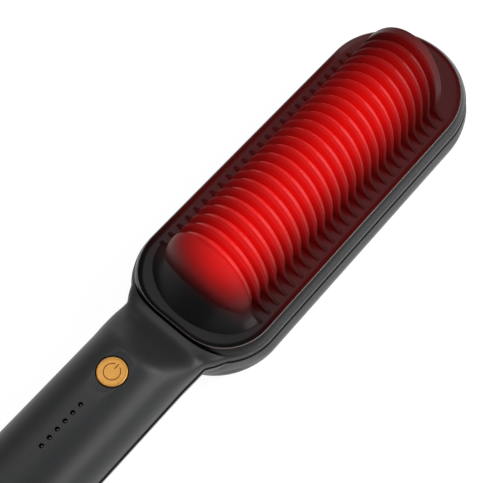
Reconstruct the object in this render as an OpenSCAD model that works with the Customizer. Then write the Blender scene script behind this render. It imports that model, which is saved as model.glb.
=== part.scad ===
// Hair straightening brush: a heated comb head on an oval handle.
// It lies on its back: +X runs from the handle's end to the head's tip, +Y is its left side
// and +Z is up out of the comb. The origin is under the middle of the whole brush.

/* [Overall] */
// Length from the cord swivel's face to the head's tip
overall_l = 286; // [280:1:300]
// Thickness of the moulded shells
wall = 2; // [1.8:0.1:2.4]
// Height of the flat plane where the two shells meet
parting_z = 18.6; // [18:0.1:19]

/* [Head] */
// Length of the head shell from the neck to the tip
head_l = 145.6; // [143:0.1:150]
// Height of the comb's rim above the resting back
rim_z = 26; // [25.5:0.1:27]
// Width over the comb's black band
band_w = 50.4; // [49:0.2:53]
// Corner radius of the band where the head meets the neck
near_r = 20; // [18:0.5:22]
// How far the shell stands out past the band
overhang = 1.3; // [1:0.1:1.6]
// Height of the black band that stands above the shell
band_h = 3.6; // [3.2:0.1:4]
// Width of the band's bevel from its edge to the lip
bevel_w = 2.3; // [2:0.1:2.8]
// How much the back bulges past the shell's edge
bulge = 0.7; // [0.4:0.05:0.9]
// Width of the back's rounded flank
flank_w = 12.5; // [11:0.5:13]
// Height of the back's rounded flank
flank_h = 14; // [13:0.5:15]

/* [Comb] */
// Distance from the band's edge to the foot of the hump
hump_gap = 8.7; // [8.4:0.1:9.2]
// Distance from the band's edge to the ribs' feet
foot_gap = 3.8; // [3.6:0.1:4.2]
// How far the last rib may stand past the centre of the far half circle
far_reach = 0.3; // [0.1:0.1:0.6]
// Spacing of the ribs
rib_pitch = 4.03; // [3.9:0.01:4.06]
// Thickness of a rib
rib_t = 1.2; // [1:0.1:1.4]
// Height of the ribs' crest above the rim
hump_h = 26; // [24:0.5:28]
// Depth of a rib from its crest to its inner edge
rib_d = 4.3; // [4:0.1:4.8]
// Depth of the rails below the rim
rail_drop = 1.2; // [1:0.1:1.6]
// Half width of the raised land on each crest
land_hw = 4.2; // [3.5:0.1:5]
// Height of the raised land
land_h = 0.5; // [0.3:0.1:0.8]
// Length of the rounded nose at the near end of the comb
nose_l = 7.7; // [7:0.1:8.5]
// Length of the ramp from the band's near edge to the nose
ramp_l = 12.9; // [12.5:0.1:13.5]
// Height above the rim where the nose runs out into its ramp
ramp_h = 9; // [7:0.5:11]
// Radius of the ramp's round foot
ramp_r = 21.8; // [21.4:0.1:22.2]
// Flat deck between the lip and the ramp's foot
apron_l = 2.5; // [2:0.1:3]
// Thickness of the wall that closes the far end of the hump
cap_l = 3; // [2.6:0.1:3.2]

/* [Heater] */
// Thickness of a heating fin
fin_t = 1; // [0.8:0.1:1.2]
// How far the fins stay below the ribs' crest
fin_drop = 2.4; // [2:0.1:3]
// Gap between the heater's core and the ribs
core_gap = 0.8; // [0.6:0.1:1]
// Half width of the channel that holds the heating element
channel_hw = 7; // [6.5:0.1:7.2]
// Height of the channel's roof above the rim
channel_rise = 12; // [11:0.5:13]
// Free length of the channel at each end of the heating element
element_gap = 6.9; // [6:0.1:9]
// Thickness of the ceramic heating element
element_t = 2.5; // [2:0.1:3]
// Thickness of the mica sheet
mica_t = 0.5; // [0.4:0.1:0.6]
// Thickness of the clamp's spring steel
clamp_t = 0.8; // [0.6:0.1:1]
// Height of the heat shield above the resting back
shield_z = 12; // [11:0.5:13]
// Thickness of the heat shield
shield_t = 0.6; // [0.5:0.1:0.8]

/* [Handle] */
// Width of the handle
handle_w = 32; // [31:0.2:34]
// Height of the handle's top above the resting back
handle_top = 35.4; // [34:0.1:37]
// Height of the handle's underside above the resting back
handle_bottom = 6.5; // [5.5:0.1:7]
// Height of the handle's widest line
handle_mid = 19; // [18.8:0.1:19.4]
// Length of the slope from the handle's top down to the head
neck_l = 16; // [15:0.5:18]
// Length of the rounding at the handle's end
end_round = 14; // [12:0.5:16]

/* [Button and lights] */
// Distance from the head to the button's centre
button_back = 22.8; // [22:0.1:24]
// Diameter of the button
button_d = 9.3; // [8.8:0.1:10]
// Gap around the button
button_gap = 0.25; // [0.2:0.05:0.35]
// How far the button can be pressed
button_travel = 0.6; // [0.4:0.1:0.7]
// Radius of the shallow dish round the button
dish_r = 7.4; // [7:0.1:8]
// Depth of the dish
dish_depth = 0.8; // [0.6:0.1:0.9]
// Number of indicator lights
light_n = 6; // [4:1:6]
// Spacing of the indicator lights
light_pitch = 3.16; // [3:0.02:3.3]
// Diameter of an indicator light
light_d = 1.1; // [1:0.05:1.3]
// Distance from the button's centre to the first light
light_back = 13.1; // [12.5:0.1:14]

/* [Board] */
// Distance from the head to the circuit board
board_gap = 11.5; // [11:0.1:12.5]
// Width of the circuit board
board_w = 20; // [19:0.5:21]
// Thickness of the circuit board
board_t = 1.6; // [1.4:0.1:1.8]
// Height of the board's top face above the resting back
board_top = 20; // [19.8:0.1:20.4]

/* [Cord swivel and screws] */
// Radius of the bore that takes the cord
cord_r = 3.1; // [2.8:0.1:3.4]
// Radius of the swivel's spindle
spindle_r = 5; // [4.8:0.1:5.4]
// Running clearance round the spindle
spindle_gap = 0.06; // [0.04:0.01:0.08]
// Radius of the swivel's outer flange
flange_r = 7.2; // [7:0.1:7.6]
// Thickness of the swivel's outer flange
flange_t = 1.8; // [1.4:0.1:2.2]
// Distance from the collar to the screws in the grip
grip_gap = 9; // [8:0.5:12]
// Length of the swivel's bearing collar
collar_l = 8; // [7:0.5:9]
// Radius of the bearing collar
collar_r = 7.8; // [7.6:0.1:8.2]
// Shank radius of the shell screws
screw_r = 1.3; // [1.2:0.05:1.5]
// Head radius of the shell screws
screw_head_r = 2.6; // [2.4:0.1:2.8]

/* [Hidden] */
$fn = 40;

tip_x = overall_l / 2;
end_x = -overall_l / 2 + flange_t + 0.2;
near_x = tip_x - head_l + overhang;
band_hw = band_w / 2;
far_cx = tip_x - overhang - bulge - band_hw;
near_cx = near_x + near_r;
corner_y = band_hw - near_r;
ledge_z = rim_z - band_h;
near_ledge_z = ledge_z + 1.3;
inner_lip = bevel_w + 0.8;
handle_hw = handle_w / 2;
shell_gap = 0.15;
eps = 0.01;

hump_hw = band_hw - hump_gap;
foot_hw = band_hw - foot_gap;
rib_x0 = near_x + nose_l + ramp_l;
rib_n = 1 + floor((far_cx + far_reach - rib_x0) / rib_pitch);
rib_end_x = rib_x0 + (rib_n - 1) * rib_pitch;
rail_z = rim_z - rail_drop;
floor_t = 2;
floor_z = rail_z - floor_t;
window_hw = hump_hw + 1.2;
base_hw = hump_hw - 0.6;
plate_gap = 0.3;
gasket_t = 0.8;
flange_top = floor_z - gasket_t;
plate_flange_t = 1.6;
base_z = flange_top - plate_flange_t;
base_t = rail_z - 0.8 - base_z;
core_hw = hump_hw - rib_d - core_gap;
core_h = hump_h - rib_d - core_gap;
plate_x0 = rib_x0 - 1.5;
plate_x1 = rib_end_x - plate_gap;
channel_x0 = plate_x0 + 4;
channel_x1 = plate_x1 - 4;
channel_top = rim_z + channel_rise;
element_x0 = channel_x0 + element_gap;
element_l = channel_x1 - element_gap - element_x0;
element_z = channel_top - element_t;
mica_z = element_z - mica_t;
clamp_z = mica_z - clamp_t;

button_x = near_x - button_back;
light_x0 = button_x - light_back;
switch_h = 3.5;
switch_hw = 3;
plunger_r = 1.7;
plunger_rise = button_travel + 0.2;

swivel_x = -overall_l / 2;
swivel_z = handle_mid;
collar_x = end_x + 2 * wall;

boss_r = 3.6;
grip_screw_x = collar_x + collar_l + grip_gap;
grip_screw_y = 7;
board_x0 = grip_screw_x + boss_r + 3;
board_x1 = near_x - board_gap;
board_l = board_x1 - board_x0;
near_screw = [near_x + 14, 12];
far_screw = [far_cx + 11, 9];
// Screw places: at the handle's end, under the comb's near end and under its far end.
screw_spots = [
    for (y = [-grip_screw_y, grip_screw_y]) [grip_screw_x, y],
    for (s = [-1, 1]) [near_screw[0], s * near_screw[1]],
    for (s = [-1, 1]) [far_screw[0], s * far_screw[1]]
];
plate_screw_in = 4.6;
plate_screw_spots = [for (y = [-5, 5]) [rib_x0 - plate_screw_in, y]];
shield_pin_in = 8;
shield_spots = [for (x = [plate_x0 + shield_pin_in, plate_x1 - shield_pin_in], y = [-9, 9]) [x, y]];
strap_in = 22;
clamp_strap_x = [plate_x0 + strap_in, plate_x1 - strap_in];
clamp_screw_y = channel_hw + 4.5;
board_screw_in = 5;
board_screw_spots = [
    for (x = [board_x0 + board_screw_in, board_x1 - board_screw_in], y = [-7, 7]) [x, y]
];

charcoal = "#3b3c3f";
black = "#141416";
gold = "#e3a24b";
metal = "#b9bcc0";

function smooth_max(a, b, k) = k * ln(exp(a / k) + exp(b / k));
function corner_reach(x, r) = abs(x - near_cx) < r ? corner_y + sqrt(r * r - pow(x - near_cx, 2)) : 0;
function ease(t) = t <= 0 ? 0 : t >= 1 ? 1 : t * t * (3 - 2 * t);

// Sine or cosine c of an oval that gets squarer as n grows.
function oval(c, n) = sign(c) * pow(abs(c), 2 / n);

// Outline of the handle and neck along X.
function end_cut(x) = x > end_x + end_round ? 0 : 1 - sqrt(1 - pow((end_x + end_round - x) / end_round, 2));
function body_hw(x) = smooth_max(handle_hw - 5 * end_cut(x), corner_reach(x, near_r + overhang), 0.6);
function body_top(x) =
    let (drop = handle_top - near_ledge_z, t = (x - near_x + neck_l) / neck_l)
    x < near_x ? handle_top - 4 * end_cut(x) - drop * ease(t)
               : near_ledge_z - (near_ledge_z - ledge_z) * ease((x - near_x) / near_r);
function body_bottom(x) = handle_bottom + 4 * end_cut(x);
function roundness(x) = 2.3 + 2.7 * ease((x - near_x + 0.7 * neck_l) / (0.75 * neck_l));

// One cross-section: an oval that is squarer where it meets the head.
function section(x, inset) = [
    for (i = [0 : section_n - 1])
        let (a = i * 360 / section_n, up = sin(a) >= 0, n = up ? roundness(x) : 2.3,
             w = body_hw(x) - inset,
             h = (up ? body_top(x) - handle_mid : handle_mid - body_bottom(x)) - inset)
        [x, w * oval(cos(a), n), handle_mid + h * oval(sin(a), n)]
];
section_n = 40;
neck_steps = 9;
end_steps = 5;
loft_end_x = near_x + near_r * 0.42;
function stations(inset, x1) = [
    for (i = [0 : end_steps]) end_x + inset + (end_round - inset) * (1 - cos(i * 90 / end_steps)),
    for (i = [0 : neck_steps]) near_x - neck_l + (x1 - near_x + neck_l) * i / neck_steps
];

// Solid loft of the handle and neck, drawn in by inset on every side.
module body_loft(inset, x1) {
    xs = stations(inset, x1);
    points = [for (x = xs) each section(x, inset)];
    last = (len(xs) - 1) * section_n;
    sides = [
        for (s = [0 : len(xs) - 2], i = [0 : section_n - 1])
            let (a = s * section_n + i, b = s * section_n + (i + 1) % section_n)
            each [[a, a + section_n, b], [b, a + section_n, b + section_n]]
    ];
    caps = [[for (i = [0 : section_n - 1]) i], [for (i = [section_n - 1 : -1 : 0]) last + i]];
    polyhedron(points = points, faces = concat(sides, caps), convexity = 6);
}

// Plan of the head at the band's outer edge, grown outwards by grow.
module head_plan(grow = 0) {
    translate([far_cx, 0]) circle(r = band_hw + grow);
    translate([near_cx, -band_hw - grow]) square([far_cx - near_cx, 2 * (band_hw + grow)]);
    for (s = [-1, 1])
        translate([near_cx, s * corner_y]) circle(r = near_r + grow);
    translate([near_x - grow, -corner_y]) square([near_r + grow, 2 * corner_y]);
}

// Sweeps a profile round the head. Its x is the distance out from the band's edge, its y the height.
module sweep_head() {
    translate([far_cx, 0]) rotate(-90) rotate_extrude(angle = 180) translate([band_hw, 0]) children();
    for (s = [0, 1])
        mirror([0, s, 0]) {
            translate([near_cx, corner_y])
                rotate(90) rotate_extrude(angle = 90) translate([near_r, 0]) children();
            translate([near_cx, band_hw, 0])
                rotate([90, 0, 90]) linear_extrude(far_cx - near_cx) children();
        }
    translate([near_x, corner_y, 0])
        rotate([90, 0, 0]) linear_extrude(2 * corner_y) mirror([1, 0]) children();
}

// The rounded flank of the back, from the flat bottom up to the parting line.
flank_steps = 7;
flank_edge = overhang + bulge;
function flank(inset) = [
    for (i = [0 : flank_steps])
        let (a = i * 90 / flank_steps, n = 2.2)
        [flank_edge - flank_w + (flank_w - inset) * oval(sin(a), n),
         flank_h - (flank_h - inset) * oval(cos(a), n)]
];

module shell_boss(spot, z0, z1, r) {
    translate([spot[0], spot[1], z0]) cylinder(h = z1 - z0, r = r, $fn = 20);
}

// The two webs that hold the swivel's collar, cut in half by the parting plane.
web_t = 1.5;
web_x = [collar_x + 0.8, collar_x + collar_l - 0.8 - web_t];
web_inset = wall + 0.2;
module collar_webs() {
    for (x = web_x) {
        translate([x, -handle_hw + web_inset, handle_mid - 4]) cube([web_t, handle_w - 2 * web_inset, 8]);
        translate([x, -6, handle_bottom + wall])
            cube([web_t, 12, handle_top - handle_bottom - 2 * wall - 0.1]);
    }
}

module front_shell() {
    color(charcoal)
    difference() {
        union() {
            difference() {
                union() {
                    difference() {
                        body_loft(0, loft_end_x);
                        body_loft(wall, loft_end_x + 1);
                    }
                    sweep_head() polygon([
                        [-1.2, parting_z], [overhang, parting_z], [overhang - 0.05, parting_z + 1.8],
                        [overhang - 0.3, ledge_z - 0.7], [overhang - 0.8, ledge_z - 0.15], [0, ledge_z],
                        [-1.2, ledge_z]
                    ]);
                }
                // Cut off below the parting plane and inside the head.
                translate([end_x - 1, -band_w, -1]) cube([overall_l, 2 * band_w, parting_z + 1]);
                translate([0, 0, ledge_z]) linear_extrude(10) head_plan(shell_gap);
                translate([0, 0, parting_z - 1]) linear_extrude(10) head_plan(-1.2);
            }
            intersection() {
                union() {
                    collar_webs();
                    for (y = [-grip_screw_y, grip_screw_y])
                        shell_boss([grip_screw_x, y], parting_z, handle_top - wall - 1, boss_r - 0.6);
                    translate([button_x, 0, handle_top - wall - 2.4]) cylinder(h = 2.6, r = button_d / 2 + 3);
                }
                translate([end_x - 1, -band_w, parting_z]) cube([overall_l, 2 * band_w, 40]);
            }
        }
        // Button hole, with the dish round it and the seat for the button's flange.
        translate([button_x, 0, 10]) cylinder(h = 30, r = button_d / 2 + button_gap);
        translate([button_x, 0, handle_top - dish_depth + dish_ball_r]) sphere(r = dish_ball_r, $fn = 72);
        translate([button_x, 0, 10]) cylinder(h = flange_seat_z - 10, r = button_flange_r + button_gap);
        for (i = [0 : light_n - 1])
            translate([light_x0 - i * light_pitch, 0, 20]) cylinder(h = 20, r = light_d / 2 + 0.05, $fn = 24);
        for (y = [-grip_screw_y, grip_screw_y])
            translate([grip_screw_x, y, parting_z - 1]) cylinder(h = 9, r = screw_r, $fn = 24);
        swivel_cuts();
    }
}
// The dish is the low part of a big ball, so that its edge fades into the handle.
dish_ball_r = (dish_r * dish_r + dish_depth * dish_depth) / (2 * dish_depth);
button_flange_r = button_d / 2 + 1;
flange_seat_z = handle_top - wall - 1.3;

module swivel_cuts() {
    translate([swivel_x - 1, 0, swivel_z]) rotate([0, 90, 0]) cylinder(h = 12, r = spindle_r + 0.3);
    translate([collar_x, 0, swivel_z]) rotate([0, 90, 0]) cylinder(h = collar_l + 20, r = collar_r + 0.05);
}

module rear_shell() {
    inner = flank(wall);
    outer = flank(0);
    color(charcoal)
    difference() {
        union() {
            difference() {
                union() {
                    difference() {
                        body_loft(0, near_x + 1.2);
                        body_loft(wall, near_x + 3);
                    }
                    sweep_head() polygon(concat(
                        outer, [[overhang, parting_z], [overhang - wall, parting_z]],
                        [for (i = [flank_steps : -1 : 0]) inner[i]]
                    ));
                    linear_extrude(wall) head_plan(flank_edge - flank_w + eps);
                }
                translate([end_x - 1, -band_w, parting_z]) cube([overall_l, 2 * band_w, 30]);
                // Way through from the handle into the head.
                translate([near_x - 4, 5 - handle_hw, handle_bottom + wall + 1])
                    cube([9, handle_w - 10, 30]);
            }
            intersection() {
                collar_webs();
                translate([end_x - 1, -band_w, 0]) cube([60, 2 * band_w, parting_z]);
            }
            for (p = screw_spots)
                if (p[0] < near_x) shell_boss(p, handle_bottom + wall + 0.2, parting_z, boss_r);
                else shell_boss(p, 0.6, cover_boss_z, boss_r);
            for (p = board_screw_spots)
                shell_boss(p, handle_bottom + wall - 0.1, board_top - board_t, 2.2);
            for (p = shield_spots) {
                shell_boss(p, 1, shield_z, 2.4);
                shell_boss(p, 1, shield_z + 2, 0.9);
            }
        }
        for (p = screw_spots) {
            translate([p[0], p[1], -1]) cylinder(h = 30, r = screw_r + 0.2, $fn = 16);
            translate([p[0], p[1], -1]) cylinder(h = 1 + screw_seat(p), r = screw_head_r + 0.3, $fn = 24);
        }
        for (p = board_screw_spots)
            translate([p[0], p[1], board_top - 8]) cylinder(h = 12, r = 0.95, $fn = 16);
        swivel_cuts();
    }
}
cover_boss_z = 12;
function screw_seat(p) = p[0] < near_x ? handle_bottom + 4 : 3;

// One rib: an arch over the heater with its feet out on the rails.
arch_steps = 14;
foot_steps = 4;
side_z = 4.5;
side_a = acos(side_z / hump_h);
function crest(a) = [hump_hw * sin(a), hump_h * cos(a)];
function foot(t) =
    let (p0 = crest(side_a), p1 = [hump_hw + 0.1, 1.2], p2 = [foot_hw, -rail_drop])
    (1 - t) * (1 - t) * p0 + 2 * t * (1 - t) * p1 + t * t * p2;
land_a = asin(land_hw / hump_hw);
half_arch = concat(
    [for (i = [0 : 2]) crest(land_a * i / 2)],
    [crest(land_a) - [0, land_h]],
    [for (i = [1 : arch_steps]) let (a = land_a + (side_a - land_a) * i / arch_steps)
        crest(a) - [0, land_h * (1 - i / arch_steps)]],
    [for (i = [1 : foot_steps]) foot(i / foot_steps)]
);
half_inner = concat(
    [[hump_hw - rib_d, -rail_drop]],
    [for (i = [0 : 9]) let (a = 90 - i * 10) [(hump_hw - rib_d) * sin(a), (hump_h - rib_d) * cos(a)]]
);
module rib_profile() {
    translate([0, rim_z])
        polygon(concat(
            [for (i = [len(half_arch) - 1 : -1 : 0]) [-half_arch[i][0], half_arch[i][1]]],
            [for (i = [1 : len(half_arch) - 1]) half_arch[i]],
            [[foot_hw, -rail_drop - 0.5], [hump_hw - rib_d, -rail_drop - 0.5]],
            half_inner,
            [for (i = [len(half_inner) - 2 : -1 : 0]) [-half_inner[i][0], half_inner[i][1]]],
            [[-hump_hw + rib_d, -rail_drop - 0.5], [-foot_hw, -rail_drop - 0.5]]
        ));
}

// Solid profile under a rib's outer line, drawn in by inset.
module hump_face(inset = 0) {
    translate([0, rim_z])
        polygon(concat(
            [[-hump_hw + inset, -rail_drop - 0.4 - inset]],
            [for (i = [-12 : 12]) let (a = i * 7.5) [(hump_hw - inset) * sin(a), (hump_h - inset) * cos(a)]],
            [[hump_hw - inset, -rail_drop - 0.4 - inset]]
        ));
}

// Quarter oval that rounds the nose towards the neck, seen from the side or from above.
function nose_arc(h, inset) =
    [for (i = [0 : 10]) let (a = i * 9) [-(nose_l - inset) * sin(a), (h - inset) * cos(a)]];

// The nose: a dome rounded in all three views. It runs a little way into the first rib.
module dome(inset) {
    past = 0.1 + inset;
    intersection() {
        translate([rib_x0 - nose_l - 1, 0, 0])
            rotate([90, 0, 90]) linear_extrude(nose_l + 1 + past) hump_face(inset);
        translate([rib_x0, hump_hw + 1, rim_z])
            rotate([90, 0, 0]) linear_extrude(2 * hump_hw + 2)
                polygon(concat(
                    nose_arc(hump_h, inset),
                    [[-nose_l + inset, -4], [past, -4], [past, hump_h - inset]]
                ));
        translate([rib_x0, 0, floor_z - 1])
            linear_extrude(2 * hump_h)
                polygon(concat(
                    [[past, hump_hw - inset]],
                    nose_arc(hump_hw, inset),
                    [for (i = [9 : -1 : 0]) let (p = nose_arc(hump_hw, inset)[i]) [p[0], -p[1]]],
                    [[past, -hump_hw + inset]]
                ));
    }
}

// Ramp that rises from the deck to the nose, in the ribs' own side line and on a round foot.
ramp_steps = 6;
ramp_x0 = near_x + inner_lip + apron_l;
ramp_rise = ramp_h + rail_drop;
ramp_slope = 0.745;
function ramp_line(t) =
    let (p0 = [-nose_l * sqrt(1 - pow(ramp_h / hump_h, 2)), ramp_h],
         p1 = [-nose_l - 2, 0.6], p2 = [ramp_x0 - rib_x0, -rail_drop])
    (1 - t) * (1 - t) * p0 + 2 * t * (1 - t) * p1 + t * t * p2;
module ramp() {
    intersection() {
        translate([near_x, 0, rim_z])
            rotate([90, 0, 90]) linear_extrude(rib_x0 - near_x)
                polygon(concat(
                    [for (i = [len(half_arch) - 1 : -1 : 0]) [-half_arch[i][0], half_arch[i][1]]],
                    [for (i = [1 : len(half_arch) - 1]) half_arch[i]],
                    [[foot_hw, -rail_drop - 1], [-foot_hw, -rail_drop - 1]]
                ));
        translate([rib_x0, band_hw, rim_z])
            rotate([90, 0, 0]) linear_extrude(band_w)
                polygon(concat(
                    [[0, ramp_h]],
                    [for (i = [0 : ramp_steps]) ramp_line(i / ramp_steps)],
                    [ramp_line(1) - [0, 1], [0, -rail_drop - 1]]
                ));
        translate([ramp_x0 + ramp_r, 0, rail_z - 1])
            cylinder(
                h = ramp_rise + 1, r1 = ramp_r + ramp_slope, r2 = ramp_r - ramp_slope * ramp_rise, $fn = 96
            );
    }
}

// Opening in the deck through which the plate stands up.
module window_plan() {
    translate([plate_x0 - plate_gap, -window_hw])
        square([plate_x1 - plate_x0 + 2 * plate_gap, 2 * window_hw]);
}

skirt_in = 1.4;
skirt_t = 1.4;
module comb_cover() {
    color(black)
    difference() {
        union() {
            // Band, lip and the skirt that drops into the shell.
            sweep_head() polygon([
                [0, ledge_z], [-0.15, ledge_z + 0.5], [0.35 - bevel_w, rim_z - 0.35],
                [-bevel_w, rim_z], [-bevel_w - 0.4, rim_z - 0.1], [-inner_lip, rim_z - 0.5],
                [-inner_lip - 1.7, rail_z - 0.3], [-inner_lip - 1.7, floor_z + 0.3],
                [-skirt_in - skirt_t, floor_z - 0.4], [-skirt_in - skirt_t, parting_z + 0.6],
                [-skirt_in, parting_z + 0.6], [-skirt_in, ledge_z]
            ]);
            translate([0, 0, floor_z])
                linear_extrude(floor_t)
                    difference() {
                        head_plan(-inner_lip - 0.4);
                        window_plan();
                    }
            for (i = [0 : rib_n - 1])
                translate([rib_x0 + i * rib_pitch - rib_t / 2, 0, 0])
                    rotate([90, 0, 90]) linear_extrude(rib_t) rib_profile();
            difference() {
                union() {
                    dome(0);
                    ramp();
                }
                dome(wall);
                translate([plate_x0 - plate_gap - 0.1, -window_hw - 0.1, floor_z - 1])
                    cube([4, 2 * window_hw + 0.2, base_z + base_t + plate_gap + 0.1 - floor_z + 1]);
            }
            translate([rib_end_x, 0, 0]) rotate([90, 0, 90]) linear_extrude(cap_l) hump_face();
            for (p = plate_screw_spots)
                shell_boss(p, floor_z, rim_z + 4, 2.2);
            // Hook that holds the plate's far ear.
            translate([plate_x1 + hook_reach + plate_gap, -hook_hw, hook_z])
                cube([hook_t, 2 * hook_hw, floor_z + 0.5 - hook_z]);
            translate([plate_x1 + hook_reach / 2, -hook_hw, hook_z])
                cube([hook_reach / 2 + plate_gap + 0.2, 2 * hook_hw, hook_t]);
            for (p = screw_spots)
                if (p[0] > near_x) shell_boss(p, cover_boss_z, floor_z + 1, 2.8);
        }
        for (p = plate_screw_spots)
            translate([p[0], p[1], floor_z - 1]) cylinder(h = 5.5, r = screw_r - 0.35, $fn = 32);
        for (p = screw_spots)
            if (p[0] > near_x)
                translate([p[0], p[1], cover_boss_z - 1]) cylinder(h = 8, r = screw_r);
    }
}

// Half oval on the rim's level with straight sides down to z0.
module oval_up(hw, h, z0) {
    translate([0, rim_z])
        polygon(concat(
            [[hw, z0 - rim_z]],
            [for (i = [0 : 28]) let (a = 90 - i * 180 / 28) [hw * sin(a), h * cos(a)]],
            [[-hw, z0 - rim_z]]
        ));
}

module heating_plate() {
    color(metal)
    difference() {
        union() {
            translate([plate_x0, 0, 0])
                rotate([90, 0, 90]) linear_extrude(plate_x1 - plate_x0) oval_up(core_hw, core_h, base_z);
            translate([plate_x0, -base_hw, base_z])
                cube([plate_x1 - plate_x0, 2 * base_hw, base_t]);
            for (i = [0 : rib_n - 2])
                translate([rib_x0 + (i + 0.5) * rib_pitch - fin_t / 2, 0, 0])
                    rotate([90, 0, 90]) linear_extrude(fin_t)
                        oval_up(base_hw - 0.8, hump_h - fin_drop, base_z);
            translate([0, 0, base_z]) linear_extrude(plate_flange_t) flange_plan();
        }
        translate([channel_x0, -channel_hw, base_z - 5])
            cube([channel_x1 - channel_x0, 2 * channel_hw, channel_top - base_z + 5]);
        for (p = plate_screw_spots)
            translate([p[0], p[1], base_z - 5]) cylinder(h = 10, r = screw_r + 0.1, $fn = 32);
        for (x = clamp_strap_x, s = [-1, 1])
            translate([x, s * clamp_screw_y, base_z - 5]) cylinder(h = 7.5, r = 1, $fn = 24);
    }
}

// Plan of the plate's flange, with its ears at both ends.
ear_l = 5.5;
ear_hw = 9;
module flange_plan() {
    translate([plate_x0 - ear_l, -ear_hw]) square([plate_x1 - plate_x0 + ear_l + hook_reach, 2 * ear_hw]);
    translate([plate_x0 - 2, -window_hw - 2]) square([plate_x1 - plate_x0 + 4, 2 * window_hw + 4]);
}
hook_reach = 4;
hook_t = 2;
hook_hw = 7;
hook_z = base_z - hook_t - 0.2;

module plate_gasket() {
    color("#c9b48a")
    translate([0, 0, flange_top])
        linear_extrude(gasket_t)
            difference() {
                flange_plan();
                window_plan();
                for (p = plate_screw_spots)
                    translate(p) circle(r = screw_r + 0.1, $fn = 32);
            }
}

element_side = 0.5;
module ceramic_heater() {
    color("#e9e4da")
    translate([element_x0, element_side - channel_hw, element_z])
        cube([element_l, 2 * (channel_hw - element_side), element_t]);
}

mica_in = 3;
mica_side = 0.4;
module mica_sheet() {
    color("#d8c79a")
    translate([element_x0 + mica_in, mica_side - channel_hw, mica_z])
        cube([element_l - mica_in - 1, 2 * (channel_hw - mica_side), mica_t]);
}

clamp_x0 = element_x0 + mica_in + 1;
clamp_l = element_l - mica_in - 3;
clamp_hw = channel_hw - 1;
strap_w = 8;
strap_hw = clamp_screw_y + 2.5;
module heater_clamp() {
    color("#8f9398")
    difference() {
        union() {
            translate([clamp_x0, -clamp_hw, clamp_z]) cube([clamp_l, 2 * clamp_hw, clamp_t]);
            for (y = [-clamp_hw, clamp_hw - clamp_t])
                translate([clamp_x0, y, base_z - clamp_t])
                    cube([clamp_l, clamp_t, clamp_z - base_z + 2 * clamp_t]);
            for (x = clamp_strap_x)
                translate([x - strap_w / 2, -strap_hw, base_z - clamp_t])
                    cube([strap_w, 2 * strap_hw, clamp_t]);
        }
        for (x = clamp_strap_x, s = [-1, 1])
            translate([x, s * clamp_screw_y, base_z - 3]) cylinder(h = 6, r = 1.15, $fn = 24);
    }
}

module screw(z, length, r, head_r, head_h) {
    translate([0, 0, z]) {
        cylinder(h = length, r = r, $fn = 32);
        translate([0, 0, -head_h])
            difference() {
                cylinder(h = head_h, r = head_r, $fn = 32);
                for (a = [0, 90])
                    rotate(a) translate([-head_r * 0.6, -0.3, -eps]) cube([head_r * 1.2, 0.6, head_h * 0.5]);
            }
    }
}

module clamp_screws() {
    color(metal)
    for (x = clamp_strap_x, s = [-1, 1])
        translate([x, s * clamp_screw_y, 0]) screw(base_z - clamp_t, clamp_t + 2.2, 0.9, 1.9, 1.2);
}

module plate_screws() {
    color(metal)
    for (p = plate_screw_spots)
        translate([p[0], p[1], 0]) screw(base_z, plate_flange_t + gasket_t + 4, screw_r - 0.4, 2.2, 1.4);
}

vent_in = 20;
vent_n = 6;
vent_pitch = (plate_x1 - plate_x0 - 2 * vent_in) / (vent_n - 1);
module heat_shield() {
    x0 = plate_x0 + 2;
    length = plate_x1 - 2 - x0;
    half = hump_hw - 2;
    color("#a7abb0")
    difference() {
        union() {
            translate([x0, -half, shield_z]) cube([length, 2 * half, shield_t]);
            for (y = [-half, half - shield_t])
                translate([x0, y, shield_z]) cube([length, shield_t, 3]);
        }
        for (p = shield_spots)
            translate([p[0], p[1], shield_z - 1]) cylinder(h = 3, r = 1, $fn = 24);
        for (i = [0 : vent_n - 1], y = [-5, 0, 5])
            translate([plate_x0 + vent_in + i * vent_pitch, y, shield_z - 1])
                cylinder(h = 3, r = 1.5, $fn = 24);
    }
}

sensor_y = channel_hw + 5.2;
fuse_r = 2;
bead_r = 1.3;
module thermal_fuse() {
    fuse_x = clamp_strap_x[0] + 8;
    color("#d9d2c3")
    translate([fuse_x, sensor_y, base_z - fuse_r]) rotate([0, 90, 0]) {
        cylinder(h = 12, r = fuse_r, $fn = 40);
        translate([0, 0, -3]) cylinder(h = 18, r = 0.5, $fn = 24);
    }
}

module thermistor() {
    bead_x = clamp_strap_x[0] + 9;
    color("#2f6f4e")
    translate([bead_x, -sensor_y, base_z - bead_r]) rotate([0, 90, 0]) {
        cylinder(h = 5, r = bead_r, $fn = 40);
        translate([0, 0, 4.9]) cylinder(h = 5, r = 0.4, $fn = 24);
    }
}

lead_r = 0.9;
lead_z = board_top - board_t - lead_r - 0.8;
lead_x0 = board_x1 - 3;
lead_x1 = channel_x0 + 3;
lead_top = element_z + element_t / 2;
module heater_leads() {
    color("#d8dadd")
    for (y = [-3, 3]) {
        for (p = [[lead_x0, lead_z], [lead_x1, lead_z], [lead_x1, lead_top]])
            translate([p[0], y, p[1]]) sphere(r = lead_r, $fn = 24);
        translate([lead_x0, y, lead_z])
            cylinder(h = board_top - board_t - lead_z, r = lead_r * 0.6, $fn = 24);
        translate([lead_x0, y, lead_z])
            rotate([0, 90, 0]) cylinder(h = lead_x1 - lead_x0, r = lead_r, $fn = 24);
        translate([lead_x1, y, lead_z])
            cylinder(h = lead_top - lead_z, r = lead_r, $fn = 24);
        translate([lead_x1, y, lead_top])
            rotate([0, 90, 0]) cylinder(h = element_x0 - lead_x1, r = lead_r, $fn = 24);
    }
}

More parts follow.
